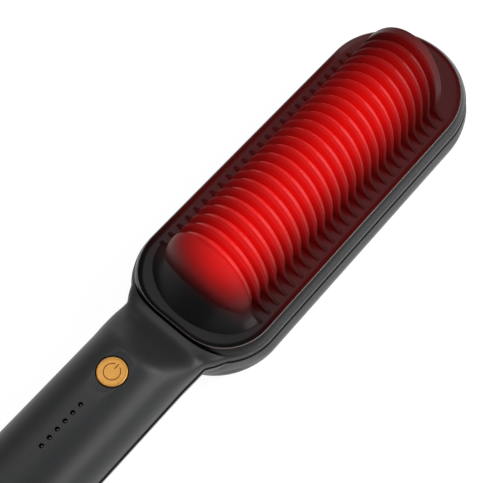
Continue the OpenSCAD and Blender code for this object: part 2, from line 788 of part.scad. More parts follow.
module circuit_board() {
    color("#1f6b3f")
    difference() {
        translate([board_x0, -board_w / 2, board_top - board_t]) cube([board_l, board_w, board_t]);
        for (p = board_screw_spots)
            translate([p[0], p[1], board_top - 5]) cylinder(h = 8, r = 1.2, $fn = 32);
    }
}

module board_screws() {
    color(metal)
    for (p = board_screw_spots)
        translate([p[0], p[1], 0]) mirror([0, 0, 1]) screw(-board_top, 6, 0.9, 2, 1.2);
}

module tact_switch() {
    color("#2a2a2c")
    difference() {
        translate([button_x - switch_hw, -switch_hw, board_top])
            cube([2 * switch_hw, 2 * switch_hw, switch_h]);
        translate([button_x, 0, board_top + 1.6]) cylinder(h = switch_h, r = plunger_r + 0.1, $fn = 40);
    }
}

plunger_top = board_top + switch_h + plunger_rise;
module switch_plunger() {
    color("#e8e6e1")
    translate([button_x, 0, plunger_top - 2]) cylinder(h = 2, r = plunger_r, $fn = 40);
}

button_top = handle_top - dish_depth + 0.65;
module power_button() {
    color(gold)
    translate([button_x, 0, 0]) {
        difference() {
            union() {
                translate([0, 0, flange_seat_z - 0.3])
                    cylinder(h = button_top - flange_seat_z - 0.1, r = button_d / 2);
                translate([0, 0, button_top - 0.4 - eps])
                    cylinder(h = 0.4 + eps, r1 = button_d / 2, r2 = button_d / 2 - 0.35);
                translate([0, 0, flange_seat_z - 1.15])
                    cylinder(h = 1.1, r = button_flange_r);
                translate([0, 0, plunger_top]) cylinder(h = flange_seat_z - plunger_top, r = 2);
            }
            // Power sign sunk into the face: an open ring and a bar.
            translate([0, 0, button_top - 0.2])
                linear_extrude(1)
                    difference() {
                        circle(r = 2.6);
                        circle(r = 2.1);
                        translate([0, -0.9]) square([4, 1.8]);
                    }
            translate([1.2, -0.25, button_top - 0.2]) cube([1.9, 0.5, 1]);
        }
    }
}

module status_leds() {
    color("#f3efe2")
    for (i = [0 : light_n - 1])
        translate([light_x0 - i * light_pitch - 0.8, -0.5, board_top]) cube([1.6, 1, 0.7]);
}

guide_t = 1.6;
guide_z = handle_top - wall - guide_t - 0.18;
module light_guide() {
    color("#0c0c0d") {
        translate([light_x0 - (light_n - 0.2) * light_pitch, -2, guide_z])
            cube([(light_n + 0.4) * light_pitch, 4, guide_t]);
        for (i = [0 : light_n - 1])
            translate([light_x0 - i * light_pitch, 0, board_top + 1])
                cylinder(h = handle_top - 0.12 - board_top - 1, r = light_d / 2, $fn = 24);
    }
}

module control_chip() {
    color("#1b1b1d")
    translate([light_x0 - 8, 2.5, board_top]) cube([8, 6, 1.6]);
}

power_x = board_x0 + 14;
triac_size = [15, 10, 4.4];
module triac() {
    color("#26262a")
    difference() {
        translate([power_x, 1 - triac_size[1], board_top]) cube(triac_size);
        translate([power_x + 3, 1 - triac_size[1] / 2, board_top - 1])
            cylinder(h = triac_size[2] + 2, r = 1.7, $fn = 32);
    }
}

module filter_capacitor() {
    color("#c8a23a")
    translate([power_x, 2.5, board_top]) cube([13, 6, 6.5]);
}

terminal_size = [8, 9.2, 7];
module terminal_block() {
    way_y = terminal_size[1] / 4 - 0.1;
    color("#2d6e8e")
    translate([board_x0 + 1.5, 0, board_top])
        difference() {
            translate([0, -terminal_size[1] / 2, 0]) cube(terminal_size);
            for (y = [-way_y, way_y]) {
                translate([-0.5, y, 2.6]) rotate([0, 90, 0]) cylinder(h = 5, r = 1.2, $fn = 32);
                translate([4.5, y, 3]) cylinder(h = 5, r = 1.5, $fn = 32);
            }
        }
}

module shell_screws() {
    color("#55575a")
    for (p = screw_spots)
        translate([p[0], p[1], 0])
            screw(screw_seat(p), p[0] < near_x ? 14 : 15, screw_r - 0.05, screw_head_r, 1.8);
}

module swivel_collar() {
    color("#e5e2da")
    translate([collar_x, 0, swivel_z]) rotate([0, 90, 0])
        difference() {
            union() {
                cylinder(h = collar_l, r = collar_r);
                translate([0, 0, web_x[0] + web_t + 0.05 - collar_x])
                    cylinder(h = web_x[1] - web_x[0] - web_t - 0.1, r = collar_r + 1.4);
            }
            translate([0, 0, -1]) cylinder(h = collar_l + 2, r = spindle_r + spindle_gap);
        }
}

spindle_end_x = collar_x + collar_l + 0.2;
module cord_swivel() {
    color(black)
    translate([swivel_x, 0, swivel_z]) rotate([0, 90, 0])
        difference() {
            union() {
                cylinder(h = flange_t - 0.5, r = flange_r);
                cylinder(h = flange_t, r = flange_r - 0.5);
                cylinder(h = spindle_end_x - swivel_x + 1.6, r = spindle_r);
                translate([0, 0, spindle_end_x - swivel_x]) cylinder(h = 1.6, r = collar_r - 0.8);
            }
            translate([0, 0, -1]) cylinder(h = spindle_end_x - swivel_x + 5, r = cord_r);
        }
}

front_shell();
rear_shell();
comb_cover();
heating_plate();
plate_gasket();
ceramic_heater();
mica_sheet();
heater_clamp();
clamp_screws();
plate_screws();
heat_shield();
thermal_fuse();
thermistor();
heater_leads();
circuit_board();
board_screws();
tact_switch();
switch_plunger();
power_button();
status_leds();
light_guide();
control_chip();
triac();
filter_capacitor();
terminal_block();
shell_screws();
swivel_collar();
cord_swivel();
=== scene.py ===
"""Hair straightening brush: a heated comb head on an oval handle, dressed round its CAD frame.

The brush lies on its back. +X runs to the head's tip, +Y is its left side and +Z points out of the comb.
Shapes are worked out in millimetres and turned into metres when they become meshes.
"""

import math
from types import SimpleNamespace

import bmesh
import bpy
import numpy as np
from mathutils import Matrix, Vector


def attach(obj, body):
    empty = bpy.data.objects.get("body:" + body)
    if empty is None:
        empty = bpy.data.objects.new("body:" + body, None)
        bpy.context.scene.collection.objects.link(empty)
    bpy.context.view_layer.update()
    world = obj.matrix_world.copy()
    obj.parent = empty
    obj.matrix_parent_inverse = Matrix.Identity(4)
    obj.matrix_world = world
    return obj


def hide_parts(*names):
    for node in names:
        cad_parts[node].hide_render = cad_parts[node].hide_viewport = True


bl_info = {
    "name": "Hair straightening brush",
    "version": (1, 0, 0),
    "blender": (4, 5, 0),
    "location": "View3D > Sidebar > Brush",
    "description": "Builds the visible pieces and finishes of a hair straightening brush",
    "category": "Object",
}

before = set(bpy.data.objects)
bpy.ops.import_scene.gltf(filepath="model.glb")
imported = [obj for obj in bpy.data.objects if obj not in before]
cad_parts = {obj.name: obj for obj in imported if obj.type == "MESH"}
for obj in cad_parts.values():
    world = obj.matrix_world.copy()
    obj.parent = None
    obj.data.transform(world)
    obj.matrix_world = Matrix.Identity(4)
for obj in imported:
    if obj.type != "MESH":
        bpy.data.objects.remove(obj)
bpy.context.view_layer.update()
MM = 0.001
# A height in millimetres above every piece, for tools that cut right through
CLEAR = 60
# Exponents of the squared ovals: 2 would be an ellipse, and more is squarer
ROUND_OVAL, NECK_OVAL, FLANK_OVAL = 2.3, 4.0, 2.2
# Points on the outer line and on the inner line of one half of the handle
RING, HOLLOW = 72, 64
# Points round a turned body, and round a boss, a hole and a lens
ROUND, BOSS_ROUND, HOLE_ROUND, LENS_ROUND = 96, 48, 32, 24
# How far the middle of a rounded edge lies inside its corner, as a share of the radius
ROUNDED = 0.3


# Sizes and colours a user would change


def length(label, description, default):
    """A length property whose default is given in millimetres."""
    return bpy.props.FloatProperty(
        name=label, description=description, default=default * MM, min=0, unit="LENGTH", precision=5
    )


def colour(label, description, default):
    """A colour property with red, green and blue from 0 to 1, as light."""
    return bpy.props.FloatVectorProperty(
        name=label, description=description, default=default, size=3, min=0, max=1, subtype="COLOR"
    )


class BrushSizes(bpy.types.PropertyGroup):
    """Sizes of the brush: the CAD part's, and the finer ones of the rim, the back and the neck."""

    end_x: length("Handle length", "Distance from the origin to the handle's end", 141)
    tip_x: length("Tip", "Distance from the origin to the head's tip", 143)
    near_x: length("Neck", "Distance from the origin back to the head's near edge", 1.3)
    parting_z: length("Parting height", "Height of the plane where the two shells meet", 18.6)
    wall: length("Wall", "Thickness of the moulded shells", 2)
    rim_z: length("Rim height", "Height of the comb's rim above the back", 26)
    band_hw: length("Band half width", "Half width over the comb's black band", 25.2)
    band_h: length("Band height", "Height of the band above the shell", 3.6)
    near_rise: length("Near rise", "How much higher the shell stands against the band at the neck", 2.4)
    near_r: length("Corner radius", "Radius of the band's corners at the neck", 20)
    overhang: length("Shell overhang", "How far the shell stands out past the band", 0.75)
    bulge: length("Back bulge", "How much the back bulges past the shell's edge", 1.25)
    near_bulge: length("Neck bulge", "How much more the back bulges where the handle joins it", 1.7)
    tip_tuck: length("Tip tuck", "How far the shells are drawn in at the tip", 0.4)
    corner_in: length("Corner inset", "How far the bowl is drawn in at the corners beside the neck", 1.3)
    near_in: length("Near rim", "How far the rim is drawn in at the neck", 1.5)
    far_in: length("Far rim", "How far the rim is drawn in at the tip", 1.7)
    flank_w: length("Flank width", "Width of the back's rounded flank", 12.5)
    flank_h: length("Flank height", "Height of the back's rounded flank", 14)
    rib_count: bpy.props.IntProperty(name="Ribs", description="Number of comb ribs", default=25, min=2)
    rib_pitch: length("Rib spacing", "Distance from one rib to the next", 4.03)
    rib_t: length("Rib thickness", "Thickness of a rib", 1.2)
    rib_x0: length("First rib", "Place of the first rib along the brush", 19.3)
    rib_d: length("Rib depth", "Depth of a rib from its crest to its inner edge", 4.3)
    hump_h: length("Comb height", "Height of the ribs' crest above the rim", 26)
    hump_hw: length("Comb half width", "Half width of the ribs' arch at the rim", 16.5)
    foot_hw: length("Foot half width", "Half width over the ribs' feet", 21.4)
    land_hw: length("Land half width", "Half width of the raised land on each crest", 4.2)
    land_h: length("Land height", "Height of the raised land on each crest", 0.5)
    rail_drop: length("Rail drop", "Depth of the rails below the rim", 1.2)
    nose_l: length("Nose length", "Length of the rounded nose at the comb's near end", 7.7)
    nose_foot: length("Nose foot", "Reach of the nose's ramp from the first rib", 15)
    nose_foot_hw: length("Nose foot half width", "Half width of the nose's ramp on the deck", 20.6)
    cap_l: length("Cap thickness", "Thickness of the wall at the comb's far end", 3)
    handle_hw: length("Handle half width", "Half width of the handle", 16)
    handle_top: length("Handle top", "Height of the handle's top", 35.4)
    handle_mid: length("Handle middle", "Height of the handle's widest line", 19)
    handle_bottom: length("Handle bottom", "Height of the handle's underside", 6.5)
    neck_l: length("Neck length", "Length of the slope from the handle down to the head", 17)
    neck_soft: length("Neck softness", "Softness of the blend from the handle into the head", 3.6)
    head_soft: length("Head softness", "Softness that is left of that blend beside the head", 0.6)
    neck_flare: length("Neck flare", "How much the handle widens towards the neck", 0.25)
    end_round: length("End rounding", "Length of the rounding at the handle's end", 14)
    end_side: length("End side", "How far that rounding draws the sides in", 5)
    end_rise: length("End rise", "How far that rounding draws the top and the underside in", 4)
    button_r: length("Button radius", "Radius of the power button", 4.65)
    button_gap: length("Button gap", "Gap round the power button", 0.25)
    button_rise: length("Button rise", "Height of the button's edge above the middle of its dish", 0.65)
    face_drop: length("Face drop", "Depth of the button's face below its edge", 0.1)
    seat_drop: length("Button seat", "Depth of the button's seat below the shell's inner face", 1.3)
    button_back: length("Button place", "Distance from the head back to the button's centre", 22.8)
    dish_r: length("Dish radius", "Radius of the shallow dish round the button", 7.4)
    dish_depth: length("Dish depth", "Depth of the shallow dish round the button", 0.8)
    light_count: bpy.props.IntProperty(name="Lights", description="Number of indicator lights", default=6, min=1)
    light_pitch: length("Light spacing", "Distance from one light to the next", 3.16)
    light_r: length("Light radius", "Radius of an indicator light", 0.55)
    light_back: length("First light", "Distance from the button's centre to the first light", 13.1)
    boss_top: length("Boss height", "Height at which the head's screw bosses meet the comb's posts", 12)
    collar_r: length("Collar bore", "Radius of the bore for the cord outlet in the handle's end", 5.3)
    grip_back: length("Grip screws", "Distance from the handle's end to the screws in the grip", 21)
    seam: length("Seam", "Width of the rounded edge along the parting line", 0.2)
    seam_gap: length("Seam gap", "Width of the open joint between the two shells", 0.22)
    seam_depth: length("Seam depth", "Depth of the open joint between the two shells", 0.9)
    rear_rim: length("Rear rim", "Width of the rear shell's rim outside the open joint", 0.2)


class BrushColours(bpy.types.PropertyGroup):
    """Colours of the brush's main finishes."""

    shell: colour("Shell", "Charcoal plastic of the handle and back", (0.017, 0.0175, 0.0185))
    comb: colour("Comb", "Black plastic of the comb cover", (0.006, 0.006, 0.0065))
    # Red glow painted as emission on the comb and the heating plate, which are no lamps
    glow: colour("Glow", "Light of the hot comb", (1.0, 0.004, 0.003))
    button: colour("Button", "Gold of the power button", (0.48, 0.235, 0.048))
    floor: colour("Floor", "Plain studio floor", (0.90, 0.90, 0.90))


def values_of(group):
    """The names and values of a property group."""
    return {key: getattr(group, key) for key in group.bl_rna.properties.keys() if key not in ("rna_type", "name")}


def in_millimetres(group):
    """The sizes as plain numbers, lengths in millimetres, and the places that follow from them."""
    given = values_of(group).items()
    size = SimpleNamespace(**{key: value if key.endswith("count") else value / MM for key, value in given})
    size.end_x, size.near_x = -size.end_x, -size.near_x
    size.near_cx = size.near_x + size.near_r
    size.far_cx = size.tip_x - size.overhang - size.bulge - size.band_hw
    size.corner_y = size.band_hw - size.near_r
    size.ledge_z = size.rim_z - size.band_h
    size.near_ledge_z = size.ledge_z + size.near_rise
    size.rail_z = size.rim_z - size.rail_drop
    size.floor_z = size.rail_z - 2
    size.rib_end_x = size.rib_x0 + (size.rib_count - 1) * size.rib_pitch
    size.foot_from_rim = -size.rail_drop - 0.5
    size.skin_inset = 0.7 * size.seam_gap
    size.inner_top = size.handle_top - size.wall
    size.seat_z = size.inner_top - size.seat_drop
    size.button_top = size.handle_top - size.dish_depth + size.button_rise
    size.button_x = size.near_x - size.button_back
    size.light_x0 = size.button_x - size.light_back
    return size


# Meshes


def place(name, mesh):
    """A new object in the scene that holds mesh."""
    obj = bpy.data.objects.new(name, mesh)
    bpy.context.scene.collection.objects.link(obj)
    return obj


def face_outwards(mesh):
    """Merges doubled points and turns every face outwards."""
    doubled = 1e-7
    shape = bmesh.new()
    shape.from_mesh(mesh)
    bmesh.ops.remove_doubles(shape, verts=shape.verts, dist=doubled)
    bmesh.ops.dissolve_degenerate(shape, edges=shape.edges, dist=doubled)
    bmesh.ops.recalc_face_normals(shape, faces=shape.faces)
    shape.to_mesh(mesh)
    shape.free()


def solid(name, points, faces):
    """A closed object from points in millimetres."""
    mesh = bpy.data.meshes.new(name)
    mesh.from_pydata((np.asarray(points, float).reshape(-1, 3) * MM).tolist(), [], faces)
    face_outwards(mesh)
    return place(name, mesh)


def loft(name, rings, closed=False):
    """A skin over equal closed rings, capped at both ends unless the row of rings is closed."""
    rings = np.asarray(rings, float)
    rows, count = rings.shape[:2]
    faces = []
    for row in range(rows if closed else rows - 1):
        a, b = row * count, (row + 1) % rows * count
        faces += [(a + i, a + (i + 1) % count, b + (i + 1) % count, b + i) for i in range(count)]
    if not closed:
        faces += [tuple(range(count)), tuple(range((rows - 1) * count, rows * count))]
    return solid(name, rings, faces)


def prism(name, outline, z0, z1):
    """A flat outline in X and Y, raised from z0 to z1."""
    outline = np.asarray(outline, float)
    return loft(name, [np.column_stack([outline, np.full(len(outline), z)]) for z in (z0, z1)])


def box(name, low, high):
    """A plain box from corner to corner, for cutting or joining."""
    (x0, y0, z0), (x1, y1, z1) = low, high
    return prism(name, [(x0, y0), (x1, y0), (x1, y1), (x0, y1)], z0, z1)


def turned(name, profile, centre, axis="Z", steps=ROUND):
    """A turned body: profile holds (radius, distance along the axis) from end to end, or closed round a bore."""
    r, h = np.asarray(profile, float).T
    rings = []
    for a in 2 * math.pi * np.arange(steps) / steps:
        across = [r * math.cos(a), r * math.sin(a)]
        rings.append(np.column_stack([*across, h] if axis == "Z" else [h, *across]) + centre)
    return loft(name, rings, closed=True)


def disc(radius, centre, z0, z1, axis="Z", steps=ROUND):
    """A round body from z0 to z1 along its axis, for cutting or joining."""
    return turned("disc", [(0, z0), (radius, z0), (radius, z1), (0, z1)], centre, axis, steps)


def bake_modifiers(obj):
    """Puts what obj's modifiers make into its own mesh."""
    depsgraph = bpy.context.evaluated_depsgraph_get()
    mesh = bpy.data.meshes.new_from_object(obj.evaluated_get(depsgraph), depsgraph=depsgraph)
    old, obj.data = obj.data, mesh
    obj.modifiers.clear()
    bpy.data.meshes.remove(old)


def combine(target, operation, tools):
    """Unites target with each tool or cuts each out of it, and deletes the tools."""
    for tool in tools:
        step = target.modifiers.new(operation, "BOOLEAN")
        step.operation, step.solver, step.object = operation, "MANIFOLD", tool
        bake_modifiers(target)
        bpy.data.objects.remove(tool)


def cut(target, *tools):
    """Cuts each tool out of target."""
    combine(target, "DIFFERENCE", tools)


def join(target, *tools):
    """Unites target with each tool."""
    combine(target, "UNION", tools)


def dress(obj, material, body, nodes, crease=32):
    """Gives a finished piece its material, smooth faces and CAD body, and hides the CAD nodes that it replaces."""
    mesh = obj.data
    mesh.materials.clear()
    mesh.materials.append(material)
    mesh.polygons.foreach_set("material_index", np.zeros(len(mesh.polygons), np.int32))
    mesh.polygons.foreach_set("use_smooth", np.ones(len(mesh.polygons), bool))
    mesh.set_sharp_from_angle(angle=math.radians(crease))
    mesh.update()
    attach(obj, body)
    if nodes:
        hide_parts(*nodes)


# Outlines


def clamp(t):
    """t, kept between 0 and 1."""
    return min(max(t, 0.0), 1.0)


def soft_step(x, start, stop):
    """A soft step from 0 where x is start to 1 where it is stop."""
    t = clamp((x - start) / (stop - start))
    return t * t * (3 - 2 * t)


def long_ease(t):
    """Goes from 0 to 1 at an even slope, with a soft start and a soft end."""
    soft = 0.28
    t, steep = clamp(t), 1 / (1 - soft)
    if t < soft:
        return steep * t * t / (2 * soft)
    if t > 1 - soft:
        return 1 - steep * (1 - t) ** 2 / (2 * soft)
    return steep * (t - soft / 2)


def quarter(count):
    """Sines and cosines of count angles from 0 to a right angle."""
    return [(math.sin(a), math.cos(a)) for a in np.linspace(0, math.pi / 2, count)]


def bezier(p0, p1, p2, steps):
    """Points on a quadratic curve, without its first one."""
    p0, p1, p2 = (np.asarray(p, float) for p in (p0, p1, p2))
    ts = [(i + 1) / steps for i in range(steps)]
    return [tuple((1 - t) ** 2 * p0 + 2 * t * (1 - t) * p1 + t * t * p2) for t in ts]


def even(points, count):
    """The same open line with count points at equal distances."""
    points = np.asarray(points, float)
    along = np.concatenate([[0], np.cumsum(np.linalg.norm(np.diff(points, axis=0), axis=1))])
    want = np.linspace(0, along[-1], count)
    return np.column_stack([np.interp(want, along, points[:, k]) for k in range(points.shape[1])])


def smooth_line(points, count):
    """A smooth open line through the points, as count points at equal distances."""
    p = np.asarray(points, float)
    p = np.vstack([2 * p[0] - p[1], p, 2 * p[-1] - p[-2]])
    line, steps = [], 12
    for a, b, c, d in zip(p, p[1:], p[2:], p[3:]):
        for t in np.linspace(0, 1, steps, endpoint=False):
            bend, twist = 2 * a - 5 * b + 4 * c - d, 3 * b - a - 3 * c + d
            line.append(0.5 * (2 * b + (c - a) * t + bend * t * t + twist * t**3))
    return [tuple(point) for point in even(line + [p[-2]], count)]


def head_path(size):
    """The band's outer edge as rows of x, y and the outward direction, anticlockwise from the right side."""

    def arc(cx, cy, r, start, stop, steps):
        angles = [math.radians(start + (stop - start) * i / steps) for i in range(steps + 1)]
        return [(cx + r * math.cos(a), cy + r * math.sin(a), math.cos(a), math.sin(a)) for a in angles]

    def straight(a, b, out, steps):
        shares = [i / steps for i in range(1, steps)]
        return [(a[0] + (b[0] - a[0]) * t, a[1] + (b[1] - a[1]) * t, *out) for t in shares]

    half, y, near, far = size.band_hw, size.corner_y, size.near_cx, size.far_cx
    return np.array([
        *arc(far, 0, half, -90, 90, 72),
        *straight((far, half), (near, half), (0, 1), 30),
        *arc(near, y, size.near_r, 90, 180, 28),
        *straight((size.near_x, y), (size.near_x, -y), (-1, 0), 6),
        *arc(near, -y, size.near_r, 180, 270, 28),
        *straight((near, -half), (far, -half), (0, -1), 30),
    ])


def head_outline(size, grow):
    """The head's plan, grown outwards from the band's edge."""
    rows = head_path(size)
    return rows[:, :2] + rows[:, 2:] * grow


def near_turn(size, x):
    """How squarely the head's edge at x faces the handle, from 0 at the sides to 1 at the neck."""
    return np.clip((size.near_cx - x) / size.near_r, 0, 1)


def near_shift(size, x):
    """How far the rim at x is drawn in towards the head, most of it at the neck."""
    return size.near_in * near_turn(size, x) ** 6


def rim_outline(size, grow):
    """The head's plan inside its rim, which is drawn in at the neck."""
    plan = head_outline(size, grow)
    plan[:, 0] += near_shift(size, plan[:, 0])
    return plan


def body_width(size, x, inset):
    """Half width of the handle and neck at x: the handle's or the head corner's, softly blended."""
    past_neck = x - size.near_x
    reach, away = size.near_r + size.overhang, abs(x - size.near_cx)
    corner = size.corner_y + (math.sqrt(reach**2 - away**2) if away < reach else 2 * (reach - away))
    handle = size.handle_hw + size.neck_flare * soft_step(past_neck, -12, -3) - size.end_side * end_cut(size, x)
    soft = size.neck_soft + (size.head_soft - size.neck_soft) * soft_step(past_neck, 1, 9)
    return max(handle, corner) + soft * math.log1p(math.exp(-abs(handle - corner) / soft)) - inset


def end_cut(size, x):
    """How far the rounding at the handle's end draws the outline in, from 0 to 1."""
    inside = (size.end_x + size.end_round - x) / size.end_round
    return 0 if inside <= 0 else 1 - math.sqrt(max(0, 1 - inside**2))


def body_top(size, x):
    """Height of the handle's crown at x, down to the ledge under the comb's band."""
    past_neck = x - size.near_x
    if past_neck < 0:
        fall = (size.handle_top - size.near_ledge_z) * long_ease(past_neck / size.neck_l + 1)
        return size.handle_top - size.end_rise * end_cut(size, x) - fall
    return size.near_ledge_z - size.near_rise * soft_step(past_neck, 0, 0.55 * size.near_r)


def body_bottom(size, x):
    """Height of the handle's underside at x."""
    return size.handle_bottom + size.end_rise * end_cut(size, x)


def squareness(size, x):
    """Exponent of the handle's upper oval, which gets squarer where it meets the head."""
    slope = size.near_x - size.neck_l
    return ROUND_OVAL + (NECK_OVAL - ROUND_OVAL) * soft_step(x, slope, slope + 0.8 * size.neck_l)


def oval_arc(half_width, height, exponent, count):
    """Half of a squared oval from +Y over the top to -Y, at equal distances."""
    steps = 240
    angles = np.linspace(0, math.pi, steps + 1)
    c, s = np.cos(angles), np.sin(angles)
    across = half_width * np.copysign(abs(c) ** (2 / exponent), c)
    return even(np.column_stack([across, height * abs(s) ** (2 / exponent)]), count)


def front_edge(size):
    """The front shell's rounded edge along the parting line, as (out, height)."""
    z, r = size.parting_z, size.seam
    return [(-r, z), (-ROUNDED * r, z + ROUNDED * r), (0, z + r)]


def rear_edge(size):
    """The rear shell's rim outside the open joint, from outside to inside, as (out, height)."""
    z, gap, outside = size.parting_z, size.seam_gap, size.seam_gap + size.rear_rim
    r = 0.5 * size.rear_rim
    corner = [(outside, z - r), (outside - ROUNDED * r, z - ROUNDED * r), (outside - r, z)]
    return [*corner, (gap, z), (gap, z - size.seam_depth)]


def shell_ring(x, width, edge, arc):
    """A shell's outer line at x: its arc, with the same edge along the parting line at both ends."""
    side = [(width + out, h) for out, h in edge]
    return [(x, y, h) for y, h in [*side, *arc, *((-y, h) for y, h in reversed(side))]]


def upper_ring(size, x):
    """Outer line of the upper shell at x, closed along the parting plane."""
    w, z = body_width(size, x, size.skin_inset), size.handle_mid
    arc = oval_arc(w, body_top(size, x) - z, squareness(size, x), RING) + (0, z)
    return shell_ring(x, w, front_edge(size), arc)


def lower_ring(size, x):
    """Outer line of the lower shell at x, closed along the parting plane."""
    w, z = body_width(size, x, size.skin_inset), size.handle_mid
    arc = oval_arc(w + size.seam_gap + size.rear_rim, z - body_bottom(size, x), ROUND_OVAL, 4 * RING)
    highest = size.parting_z - size.seam - 0.1
    arc = even([(y, z - h) for y, h in arc if z - h < highest], RING)
    return shell_ring(x, w, reversed(rear_edge(size)), arc)


def hollow_ring(size, x):
    """Inner line of both shells at x: the full oval, drawn in by the wall."""
    w, z = body_width(size, x, size.wall), size.handle_mid
    top = oval_arc(w, body_top(size, x) - z - size.wall, squareness(size, x), HOLLOW)
    under = oval_arc(w, z - body_bottom(size, x) - size.wall, ROUND_OVAL, HOLLOW)
    return [(x, y, z + h) for y, h in top] + [(x, -y, z - h) for y, h in under[1:-1]]


def handle_stations(size, start, stop):
    """Places along the handle: close together at the rounded end and in the neck."""
    rounded, neck = size.end_x + size.end_round, size.near_x - size.neck_l - 2
    at_end, in_grip, in_neck = 18, 24, 44
    end = [start + (rounded - start) * (1 - math.cos(math.pi / 2 * i / at_end)) for i in range(at_end)]
    return [*end, *np.linspace(rounded, neck, in_grip, endpoint=False), *np.linspace(neck, stop, in_neck)]


# Geometry Nodes


class NodeTree:
    """A node tree that is filled in order, with short ways to add, set and link nodes."""

    def __init__(self, tree):
        self.tree = tree

    def add(self, kind, inputs=None, **settings):
        """Adds a node. Settings are its own options, inputs its socket values or the sockets linked to them."""
        node = self.tree.nodes.new(kind)
        for key, value in settings.items():
            setattr(node, key, value)
        for key, value in (inputs or {}).items():
            if isinstance(value, bpy.types.NodeSocket):
                self.tree.links.new(value, node.inputs[key])
            else:
                node.inputs[key].default_value = value
        return node

    def out(self, kind, inputs=None, **settings):
        """Adds a node and gives its first output."""
        return self.add(kind, inputs, **settings).outputs[0]

    def on_object(self):
        """Object coordinates, which keep a pattern in its place on the piece."""
        return self.add("ShaderNodeTexCoord").outputs["Object"]

    def maths(self, operation, *values, **settings):
        """A number worked out from up to three others."""
        return self.out("ShaderNodeMath", dict(enumerate(values)), operation=operation, **settings)

    def vector(self, operation, *values):
        """A vector worked out from two others, or the length of one."""
        node = self.add("ShaderNodeVectorMath", dict(enumerate(values)), operation=operation)
        return node.outputs["Value" if operation == "LENGTH" else "Vector"]

    def ramp(self, value, start, stop, low=0.0, high=1.0, **settings):
        """A number that goes from low to high while value goes from start to stop."""
        given = {"Value": value, "From Min": start, "From Max": stop, "To Min": low, "To Max": high}
        return self.out("ShaderNodeMapRange", given, **settings)

    def soft_ramp(self, value, start, stop, high=1.0):
        """A ramp from 0 to high with a soft start and a soft end."""
        return self.ramp(value, start, stop, high=high, interpolation_type="SMOOTHSTEP")

    def noise(self, place_on, scale, detail, roughness=0.5):
        """Cloudy noise from 0 to 1."""
        given = {"Vector": place_on, "Scale": scale, "Detail": detail, "Roughness": roughness}
        return self.out("ShaderNodeTexNoise", given)

    def blend(self, mask, first, second):
        """A colour that goes from first to second with the mask. Each is a colour or a socket."""
        pair = [value if isinstance(value, bpy.types.NodeSocket) else (*value, 1) for value in (first, second)]
        return self.add("ShaderNodeMix", {0: mask, 6: pair[0], 7: pair[1]}, data_type="RGBA").outputs[2]


def new_tree(kind, name, inputs, outputs):
    """A new node tree with named sockets, each given as its name and kind, and the sockets of its inputs."""
    build = NodeTree(bpy.data.node_groups.new(name, kind))
    for way, sockets in (("INPUT", inputs), ("OUTPUT", outputs)):
        for label, socket in sockets.items():
            build.tree.interface.new_socket(name=label, in_out=way, socket_type=f"NodeSocket{socket}")
    return build, build.add("NodeGroupInput").outputs


def end_tree(build, shape, material, output):
    """Ends a Geometry Nodes tree: makes its copies real and gives them the material."""
    whole = build.out("GeometryNodeRealizeInstances", {"Geometry": shape})
    finished = build.out("GeometryNodeSetMaterial", {"Geometry": whole, "Material": material})
    build.add("NodeGroupOutput", {output: finished})
    return build.tree


def row_tree(name):
    """Geometry Nodes: copies of the input shape at equal distances along X, as one mesh with a material."""
    sockets = {"Shape": "Geometry", "Count": "Int", "Spacing": "Float", "Start": "Float", "Material": "Material"}
    build, given = new_tree("GeometryNodeTree", name, sockets, {"Row": "Geometry"})
    start, step = (build.out("ShaderNodeCombineXYZ", {"X": given[key]}) for key in ("Start", "Spacing"))
    places = {"Count": given["Count"], "Start Location": start, "Offset": step}
    line = build.out("GeometryNodeMeshLine", places, mode="OFFSET")
    copies = build.out("GeometryNodeInstanceOnPoints", {"Points": line, "Instance": given["Shape"]})
    return end_tree(build, copies, given["Material"], "Row")


def sweep_tree(name):
    """Geometry Nodes: the profile object's line carried round the input path, as one mesh with a material."""
    sockets = {"Path": "Geometry", "Profile": "Object", "Material": "Material"}
    build, given = new_tree("GeometryNodeTree", name, sockets, {"Swept": "Geometry"})
    path = build.out("GeometryNodeMeshToCurve", {"Mesh": given["Path"]})
    level = build.out("GeometryNodeSetCurveNormal", {"Curve": path}, mode="Z_UP")
    shape = build.add("GeometryNodeObjectInfo", {"Object": given["Profile"]}).outputs["Geometry"]
    line = build.out("GeometryNodeMeshToCurve", {"Mesh": shape})
    skin = build.out("GeometryNodeCurveToMesh", {"Curve": level, "Profile Curve": line})
    return end_tree(build, skin, given["Material"], "Swept")


def tree_named(name, make):
    """The node tree of that name, made the first time it is asked for."""
    return bpy.data.node_groups.get(name) or make(name)


def run_tree(obj, name, make, **values):
    """Runs a Geometry Nodes tree on obj with its inputs set by name, and keeps the result as obj's mesh."""
    tree = tree_named(name, make)
    step = obj.modifiers.new(name, "NODES")
    step.node_group = tree
    for item in tree.interface.items_tree:
        if item.in_out == "INPUT" and item.name in values:
            step[item.identifier] = values[item.name]
    bake_modifiers(obj)
    face_outwards(obj.data)


def copy_row(obj, count, spacing, start, **more):
    """Turns obj into a row of copies along X, with its spacing and start in millimetres."""
    run_tree(obj, "row of copies", row_tree, Count=count, Spacing=spacing * MM, Start=start * MM, **more)


def edge_loop(name, points):
    """A closed line of edges, in millimetres."""
    count = len(points)
    mesh = bpy.data.meshes.new(name)
    edges = [(i, (i + 1) % count) for i in range(count)]
    mesh.from_pydata((np.asarray(points, float) * MM).tolist(), edges, [])
    return place(name, mesh)


def swept(name, size, profile):
    """A closed profile of (distance out from the band's edge, height) carried round the head."""
    obj = edge_loop(name, [(x, y, 0) for x, y, *_ in head_path(size)])
    line = edge_loop("profile", [(out, -up, 0) for out, up in profile])
    run_tree(obj, "sweep round a path", sweep_tree, Profile=line)
    bpy.data.objects.remove(line)
    return obj


# Shader node groups that several finishes share


